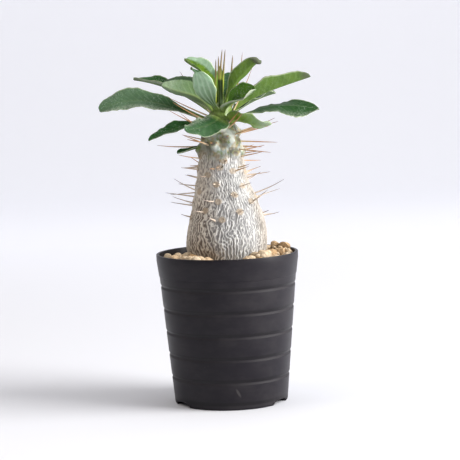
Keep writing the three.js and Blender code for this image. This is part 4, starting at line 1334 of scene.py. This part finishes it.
class LILY_OT_spines(bpy.types.Operator):
    """Make the pairs of spines that grow from the stem's pads"""

    bl_idname = "lily.spines"
    bl_label = "Spines"

    def execute(self, context):
        settings = context.scene.lily_spines
        draw = seeded_draw(SPINE_SEED)
        bm = bmesh.new()
        layers = {name: bm.verts.layers.float.new(name) for name in ("tip", "age", "green")}
        back = paired_spines(all_pads()[len(PADS):], **BACK_PAIRS)
        facing = paired_spines(bare_pads(), **FACING_PAIRS)
        for spine in (*SPINES, *CROWN_SPINES, *back, *facing, *UPPER_SPINES):
            self.add_spine(bm, layers, settings, spine, draw)
        place_piece("spines", mesh_from(bm, "spines", WELD), horn(settings))
        return {"FINISHED"}

    def add_spine(self, bm, layers, settings, spine, draw):
        """A round, slightly bent spine with a thicker foot, drawn out to its tip."""
        azimuth, height, *tip = spine
        x, y = polar(float(stem_radius(height)) - SPINE_ROOT_DEPTH, math.radians(azimuth))
        root = Vector((x + float(stem_shift(height)), y, height))
        aim = Vector(tip) - root
        length = aim.length
        side = aim.cross(Vector((0, 0, 1))).normalized()
        rise = side.cross(aim).normalized()
        bend = (side * (draw() - 0.5) + rise * (draw() - 0.7)) * length * SPINE_BEND
        thick = settings.radius / MM * lerp(0.95, 1.1, min(length / LONG_SPINE, 1))
        thick *= lerp(0.9, 1.12, draw())
        thin = settings.tip_radius / MM
        age = float(smoothstep(*SPINE_AGED_FROM, height)) * lerp(0.7, 1.1, draw())
        green = float(smoothstep(*SPINE_GREEN_FROM, height))
        thick *= 1 + 0.45 * green
        thin *= 1 + 1.2 * green
        grid = bmesh.ops.create_grid(bm, x_segments=SPINE_SIDES, y_segments=SPINE_STEPS, size=1)
        for vert in grid["verts"]:
            share = (vert.co.y + 1) / 2
            turn = vert.co.x * math.pi
            if share in (0.0, 1.0):
                radius = 0.0
            else:
                foot = 0.5 * math.exp(-share * length / SPINE_FOOT)
                radius = lerp(thick, thin, share ** (1.25 + green)) * (1 + foot)
            axis = root + aim * share + bend * (4 * share * (1 - share))
            vert.co = (axis + (side * math.cos(turn) + rise * math.sin(turn)) * radius) * MM
            vert[layers["tip"]] = share
            vert[layers["age"]] = age
            vert[layers["green"]] = green


def midrib(leaf, shares):
    """Points and directions of a leaf's midrib at even shares of its length, and its length."""
    first, second, tip = np.array(leaf["rib"], float)
    depth = max(float(stem_radius(leaf["root"])) - LEAF_ROOT_DEPTH, LEAF_ROOT_RADIUS)
    x, y = polar(depth, leaf_azimuth(leaf))
    root = np.array([x + float(stem_shift(leaf["root"])), y, leaf["root"]])
    handle = (-5 * root + 18 * first - 9 * second + 2 * tip) / 6
    far_handle = (2 * root - 9 * first + 18 * second - 5 * tip) / 6

    def curve(s):
        s = s[:, None]
        near = (1 - s) ** 3 * root + 3 * s * (1 - s) ** 2 * handle
        return near + 3 * s**2 * (1 - s) * far_handle + s**3 * tip

    samples = np.linspace(0, 1, MIDRIB_SAMPLES)
    stretches = np.linalg.norm(np.diff(curve(samples), axis=0), axis=1)
    travelled = np.concatenate([[0], np.cumsum(stretches)])
    s = np.interp(shares * travelled[-1], travelled, samples)
    back = (1 - s[:, None]) ** 2 * (handle - root) + s[:, None] ** 2 * (tip - far_handle)
    ahead = back + 2 * (s * (1 - s))[:, None] * (far_handle - handle)
    ahead /= np.linalg.norm(ahead, axis=1)[:, None]
    return curve(s), ahead, travelled[-1]


def blade_half_width(leaf, t):
    """Half of a leaf's width at t: a slender stalk that widens to a blunt blade."""
    rise = np.sin(math.pi / 2 * np.minimum(t / leaf["widest"], 1) ** leaf["slender"])
    past = np.clip((t - leaf["widest"]) / (1 - leaf["widest"]), 0, 1)
    blade = np.where(t < leaf["widest"], rise, (1 - past * past) ** leaf["point"])
    return leaf["width"] / 2 * np.hypot(blade, STALK_RATIO * (1 - t)) + TIP_HALF_WIDTH


def folded(leaf, v):
    """Reach sideways and rise, per half width, of a section folded at its rib and curled out."""
    left = v < 0
    fold = np.radians(np.where(left, *leaf["fold"]))
    curl = np.radians(np.where(left, *leaf["curl"]))
    reach, rise = np.zeros_like(v), np.zeros_like(v)
    for i in range(FOLD_STEPS):
        share = (i + 0.5) / FOLD_STEPS * np.abs(v)
        angle = fold * smoothstep(0, FOLD_SOFTNESS, share) + curl * share**2
        reach += np.cos(angle) * np.abs(v) / FOLD_STEPS
        rise += np.sin(angle) * np.abs(v) / FOLD_STEPS
    return np.sign(v) * reach, rise


def vein_lines(leaf, t, v, half, length):
    """1 on the side veins, which bow forwards to the margin, or on the long pleats of a leaf."""
    reach = np.abs(v) * half
    if leaf["pleats"]:
        phase = leaf["pleats"] * (v * (0.75 + 0.25 * t) + 0.06 * np.sin(9 * t))
        near = np.abs(phase - np.round(phase)) * 0.5
    else:
        phase = (t * length - reach * 1.25 + 0.18 * reach**1.5) / VEIN_SPACING + np.where(v < 0, 0.5, 0)
        near = np.abs(phase - np.round(phase))
    line = np.exp(-((near / VEIN_HALF) ** 2))
    return line * smoothstep(0.08, 0.25, t) * smoothstep(1, 0.8, np.abs(v))


def leaf_mesh(leaf, settings):
    """A closed blade with rounded margins, a keeled midrib and side veins."""
    seed = sum(map(ord, leaf["name"]))
    straight = np.linalg.norm(np.array(leaf["rib"][2]) - (0, 0, leaf["root"]))
    steps = max(FEWEST_STEPS, round(straight / LEAF_STEP))
    around = 2 * LEAF_ACROSS
    bm = bmesh.new()
    bmesh.ops.create_grid(bm, x_segments=around, y_segments=steps, size=1)
    mesh = mesh_from(bm, leaf["name"])
    plan = coordinates(mesh) * MM
    t = (plan[:, 1] + 1) / 2
    sweep = (plan[:, 0] + 1) * 2
    top = sweep <= 2
    w = np.where(top, sweep - 1, 3 - sweep)
    v = np.sign(w) * np.abs(w) ** 1.3
    point, ahead, length = midrib(leaf, t)
    roll = np.radians(leaf["roll"] + leaf["twist"] * t)[:, None]
    flat = np.stack([ahead[:, 1], -ahead[:, 0], np.zeros_like(t)], -1)
    flat /= np.linalg.norm(flat, axis=1)[:, None]
    lift = np.cross(flat, ahead)
    side = flat * np.cos(roll) + lift * np.sin(roll)
    up = lift * np.cos(roll) - flat * np.sin(roll)
    ends = (t <= 0) | (t >= 1)
    margin = np.stack([t * length, HALVES_APART * np.sign(v), np.zeros_like(t)], -1)
    uneven = 1 + 0.06 * cloudy(margin, 6, seed) + 0.03 * cloudy(margin, 1.8, seed + 1)
    half = blade_half_width(leaf, t) * (1 + leaf["lean"] * np.sign(v)) * uneven
    knob = np.sqrt(np.clip(1 - ((t - KNOB_PLACE) / KNOB_SHARE) ** 2, 0, 1)) * leaf["knob"]
    half = np.where(ends, 0, np.maximum(half, knob))
    reach, rise = folded(leaf, v)
    start = TURN * leaf["phase"] + np.where(v < 0, LEFT_PHASE, 0)
    wave = np.sin(TURN * leaf["waves"] * t + start) * (1 + 0.6 * cloudy(margin, 11, seed + 2))
    crinkle = 0.8 * np.abs(v) ** 4 * cloudy(margin, 2.6, seed + 3)
    ripple = leaf["wave"] * (v * v * wave + crinkle) * smoothstep(0.1, 0.4, t)
    veins = vein_lines(leaf, t, v, half, length)
    quilt = PLEAT_QUILT if leaf["pleats"] else VEIN_QUILT
    quilt = quilt * np.sin(math.pi * np.clip(np.abs(v), 0, 1)) * (0.5 - veins) * np.minimum(half / 6, 1)
    groove_depth, groove_half = GROOVE
    groove = groove_depth * np.exp(-((v * half / groove_half) ** 2)) * (1 - 0.6 * t)
    rounding = np.sqrt(np.clip(1 - np.abs(v) ** 6, 0, 1))
    blade = (settings.thickness / MM + 0.7 * knob) * rounding
    keel = leaf["ribbed"] * settings.keel / MM * (1 - 0.75 * t)
    keel *= np.exp(-((v * half / KEEL_HALF) ** 2)) * rounding
    height = np.where(top, -groove, -blade - keel) + quilt
    height = np.where(ends, -blade.mean(), rise * half + ripple + height)
    placed = point + side * (reach * half)[:, None] + up * height[:, None]
    move_points(mesh, placed)
    masks = {
        "along": t,
        "across": v,
        "top": top,
        "vein": veins,
        "aged": leaf["aged"] * smoothstep(*AGED_END, t),
        "hoary": leaf["hoary"] * smoothstep(*HOARY_END, t + 0.08 * cloudy(margin, 4, seed + 4)),
        "ribbed": np.full(len(t), leaf["ribbed"]),
        "pleated": np.full(len(t), float(leaf["pleats"] > 0)),
    }
    for key in PAIRED_VALUES:
        pair = leaf[key] if isinstance(leaf[key], tuple) else (leaf[key], leaf[key])
        masks[key] = np.where(v < 0, *pair)
    # The strip beside the rib gets painted light, as if shining through the blade.
    if leaf["strip"]:
        strip = smoothstep(leaf["strip"] + 0.1, leaf["strip"] - 0.1, np.abs(v))
        masks["fresh"] = np.maximum(masks["fresh"], strip)
        masks["bloom"] = masks["bloom"] * (1 - strip)
    for name, values in masks.items():
        write_attribute(mesh, name, values)
    bm = bmesh.new()
    bm.from_mesh(mesh)
    bpy.data.meshes.remove(mesh)
    return mesh_from(bm, leaf["name"], LEAF_WELD)


def leaf_finish(slot, settings):
    """Leaf: dark and waxy above, grey-green beneath, pale midrib, veins and margin; painted glints and
    light.
    """
    young = slot == "young_leaf"
    paint = Paint(bpy.data.materials.new(slot + "_blade"))
    mask = paint.attribute
    v = mask("across").magnitude()
    t, top, vein, warmth, bloom, felted = map(mask, ("along", "top", "vein", "warmth", "bloom", "felt"))
    mottled = paint.cloud(3.2, detail=4, roughness=0.6)
    fine = paint.cloud(0.5, detail=3)
    green_above, green_beneath = YOUNG_GREENS if young else GROWN_GREENS
    upper = paint.layers(
        settings.upper_colour,
        (warmth, green_above),
        (mottled.step(0.4, 0.75) * 0.4, MOTTLED_ABOVE),
    )
    under = paint.layers(
        settings.under_colour,
        (warmth, green_beneath),
        (mottled.step(0.45, 0.8) * 0.35, MOTTLED_BENEATH),
    )
    # Painted shade on the young leaves in the crown's hollow.
    hollow_shade = [(crown_hollow_shade(paint), LEAF_HOLLOW_SHADE)] if young else []
    patches = paint.cloud(5, detail=4, roughness=0.6).step(0.47, 0.63) * (1 - 0.35 * bloom)
    waxy = bloom * t.step(0.25, 0.8) * (0.5 + 1.0 * mottled)
    # Painted glints: pale flecks, stronger on the upper face.
    painted_glints = paint.cells(1.15).step(0.42, 0.14) * paint.cloud(7, detail=3).step(0.44, 0.60)
    felt = (paint.cloud(1.0, detail=5, roughness=0.8) + 0.2 * felted).step(0.50, 0.68)
    felt = felt * (v + felted * 0.35).step(0.55, 1.15)
    rib = v.step(0.12, 0.03) * (1 - 0.65 * t) * mask("ribbed")
    edge = (v + (fine - 0.5) * 0.06).step(0.91, 0.975)
    dark_rim = mask("rimmed") * (v + (mottled - 0.5) * 0.25).step(0.72, 0.80)
    blade = paint.layers(
        paint.blend(top, under, upper),
        *hollow_shade,
        # Fresh green, partly painted light shining through the blade.
        (mask("fresh") * 0.8, FRESH_AND_BACKLIT_GREEN),
        (mask("depth") * 0.6, DEEP_GREEN),
        (patches * (0.25 + 0.35 * top), PATCH_GREEN),
        (waxy * 0.85, WAX_BLOOM),
        (mask("pleated") * (1 - vein) * 0.12, PLEAT_GREEN),
        (vein * (0.16 - 0.08 * top + 0.3 * bloom), paint.blend(bloom, VEIN_GREEN, WAXY_VEIN)),
        (painted_glints * (0.07 + 0.22 * top), GLINT_PALE),
        (mask("hoary") * (0.5 + fine).step(0.7, 1.2) * 0.75, HOARY_GREY),
        (felt * (0.2 + 0.6 * felted), FELT_GREY),
        (rib * (0.6 - 0.48 * top), RIB_GREEN),
        (t.step(0.30, 0.06) * 0.7, STALK_GREEN),
        (edge * 0.75, YOUNG_MARGIN if young else settings.margin_colour),
        (dark_rim * 0.85, RIM_GREEN),
        (mask("aged") * 0.85, WITHERED),
    )
    relief = paint.bump(mottled, 0.4, paint.bump(fine, 0.08, paint.bump(paint.cloud(1.4), 0.18)))
    return paint.finish(
        Base_Color=blade,
        Roughness=0.60 - 0.20 * top + 0.35 * (mottled - 0.5) + 0.15 * edge,
        Normal=relief,
        Specular_IOR_Level=0.10,
        Subsurface_Weight=0.10,
        Subsurface_Radius=(0.0008, 0.0016, 0.0004),
        Subsurface_Scale=1.0,
    )


class LILY_OT_leaves(bpy.types.Operator):
    """Make the crown of waved leaves and the folded young ones"""

    bl_idname = "lily.leaves"
    bl_label = "Leaves"

    def execute(self, context):
        settings = context.scene.lily_leaves
        finishes = {slot: leaf_finish(slot, settings) for slot in ("leaf", "young_leaf")}
        for leaf in leaf_records():
            name = leaf["name"]
            slot = name.rpartition("_")[0]
            place_piece(name + "_blade", leaf_mesh(leaf, settings), finishes[slot], [name])
        return {"FINISHED"}


class LILY_OT_stage(bpy.types.Operator):
    """Make the pale floor with its backdrop, the soft lights and the camera"""

    bl_idname = "lily.stage"
    bl_label = "Stage"

    def execute(self, context):
        settings = context.scene.lily_stage
        self.make_floor(settings)
        for key, light in LIGHTS.items():
            self.add_light(getattr(settings, key), *light)
        self.make_room(context, settings)
        context.scene.view_settings.view_transform = "Standard"
        self.make_camera(context)
        return {"FINISHED"}

    def make_floor(self, settings):
        """A floor that sweeps up into a wall far behind the object."""
        bm = bmesh.new()
        section = [(FLOOR_NEAR, 0.0), (FLOOR_FAR, 0.0)]
        for i in range(1, SWEEP_STEPS + 1):
            up, along_floor = polar(SWEEP_RADIUS, i * math.pi / 2 / SWEEP_STEPS)
            section.append((FLOOR_FAR + along_floor, SWEEP_RADIUS - up))
        section.append((FLOOR_FAR + SWEEP_RADIUS, BACKDROP_TOP))
        verts = [bm.verts.new((-FLOOR_HALF, y, z)) for y, z in section]
        edges = [bm.edges.new(pair) for pair in zip(verts, verts[1:])]
        grown = bmesh.ops.extrude_edge_only(bm, edges=edges)["geom"]
        moved = [item for item in grown if isinstance(item, bmesh.types.BMVert)]
        bmesh.ops.translate(bm, verts=moved, vec=(2 * FLOOR_HALF, 0, 0))
        bmesh.ops.recalc_face_normals(bm, faces=bm.faces)
        mesh = mesh_from(bm, "floor")
        mesh.shade_smooth()
        floor = add_object("floor", mesh)
        paint = Paint(bpy.data.materials.new("floor_paper"))
        far = paint.axis("Y").step(*GLOW_FROM)
        finish = paint.finish(
            Base_Color=rgba(settings.floor_colour), Roughness=0.9,
            Emission_Color=paint.blend(far, (0, 0, 0), settings.wall_glow),
            Emission_Strength=1.0,
        )
        mesh.materials.append(finish)

    def make_room(self, context, settings):
        """Soft light from all round, weaker from behind the viewer."""
        world = bpy.data.worlds.new("room")
        paint = Paint(world, "Background", "Generated")
        front = (paint.axis("Y") + DIM_LEANING * paint.axis("X")).step(*DIM_FROM)
        dim = [settings.front_dimming] * 3
        paint.finish(Color=paint.blend(front, ROOM_WHITE, dim), Strength=settings.ambient)
        context.scene.world = world

    def add_light(self, power, name, place, size, colour):
        """A round area light that points at the plant's crown."""
        data = bpy.data.lights.new(name, "AREA")
        data.shape = "DISK"
        data.size = size
        data.energy = power
        data.color = colour
        light = add_object(name, data)
        light.location = place
        aim = Vector(LIGHTS_AIM) - Vector(place)
        light.rotation_euler = aim.to_track_quat("-Z", "Y").to_euler()

    def make_camera(self, context):
        """The camera, which looks at the plant from -Y and a little from above."""
        pitch, yaw, roll = (math.radians(a) for a in (CAMERA_PITCH, CAMERA_YAW, CAMERA_ROLL))
        aside, forward = math.sin(yaw) * math.cos(pitch), math.cos(yaw) * math.cos(pitch)
        ahead = Vector((aside, forward, -math.sin(pitch)))
        level = Vector((math.cos(yaw), -math.sin(yaw), 0))
        above = level.cross(ahead)
        right = level * math.cos(roll) - above * math.sin(roll)
        up = level * math.sin(roll) + above * math.cos(roll)
        data = bpy.data.cameras.new("camera")
        data.sensor_width = SENSOR
        data.lens = CAMERA_FOCAL / PICTURE_SIZE * SENSOR
        data.clip_start = 0.01
        camera = add_object("camera", data)
        turn = Matrix((right, up, -ahead)).transposed()
        camera.matrix_world = Matrix.Translation(Vector(CAMERA_PLACE) * MM) @ turn.to_4x4()
        context.scene.camera = camera


OPERATORS = (
    LILY_OT_pot, LILY_OT_soil, LILY_OT_stem, LILY_OT_spines, LILY_OT_leaves, LILY_OT_stage,
)
SETTINGS = {
    "lily_pot": PotSettings,
    "lily_soil": SoilSettings,
    "lily_stem": StemSettings,
    "lily_spines": SpineSettings,
    "lily_leaves": LeafSettings,
    "lily_stage": StageSettings,
}


class LILY_PT_sidebar(bpy.types.Panel):
    """The plant's pieces and their settings"""

    bl_label = "Kudu lily"
    bl_idname = "LILY_PT_sidebar"
    bl_space_type = "VIEW_3D"
    bl_region_type = "UI"
    bl_category = "Kudu lily"

    def draw(self, context):
        for operator, (name, kind) in zip(OPERATORS, SETTINGS.items()):
            box = self.layout.box()
            box.operator(operator.bl_idname)
            for key in kind.__annotations__:
                box.prop(getattr(context.scene, name), key)


CLASSES = (*SETTINGS.values(), *OPERATORS, LILY_PT_sidebar)


def register():
    for cls in CLASSES:
        bpy.utils.register_class(cls)
    for name, cls in SETTINGS.items():
        setattr(bpy.types.Scene, name, PointerProperty(type=cls))


def unregister():
    for name in SETTINGS:
        delattr(bpy.types.Scene, name)
    for cls in reversed(CLASSES):
        bpy.utils.unregister_class(cls)


def main():
    register()
    bpy.ops.lily.stage()
    bpy.ops.lily.pot()
    bpy.ops.lily.soil()
    bpy.ops.lily.stem()
    bpy.ops.lily.spines()
    bpy.ops.lily.leaves()


if __name__ == "__main__":
    main()
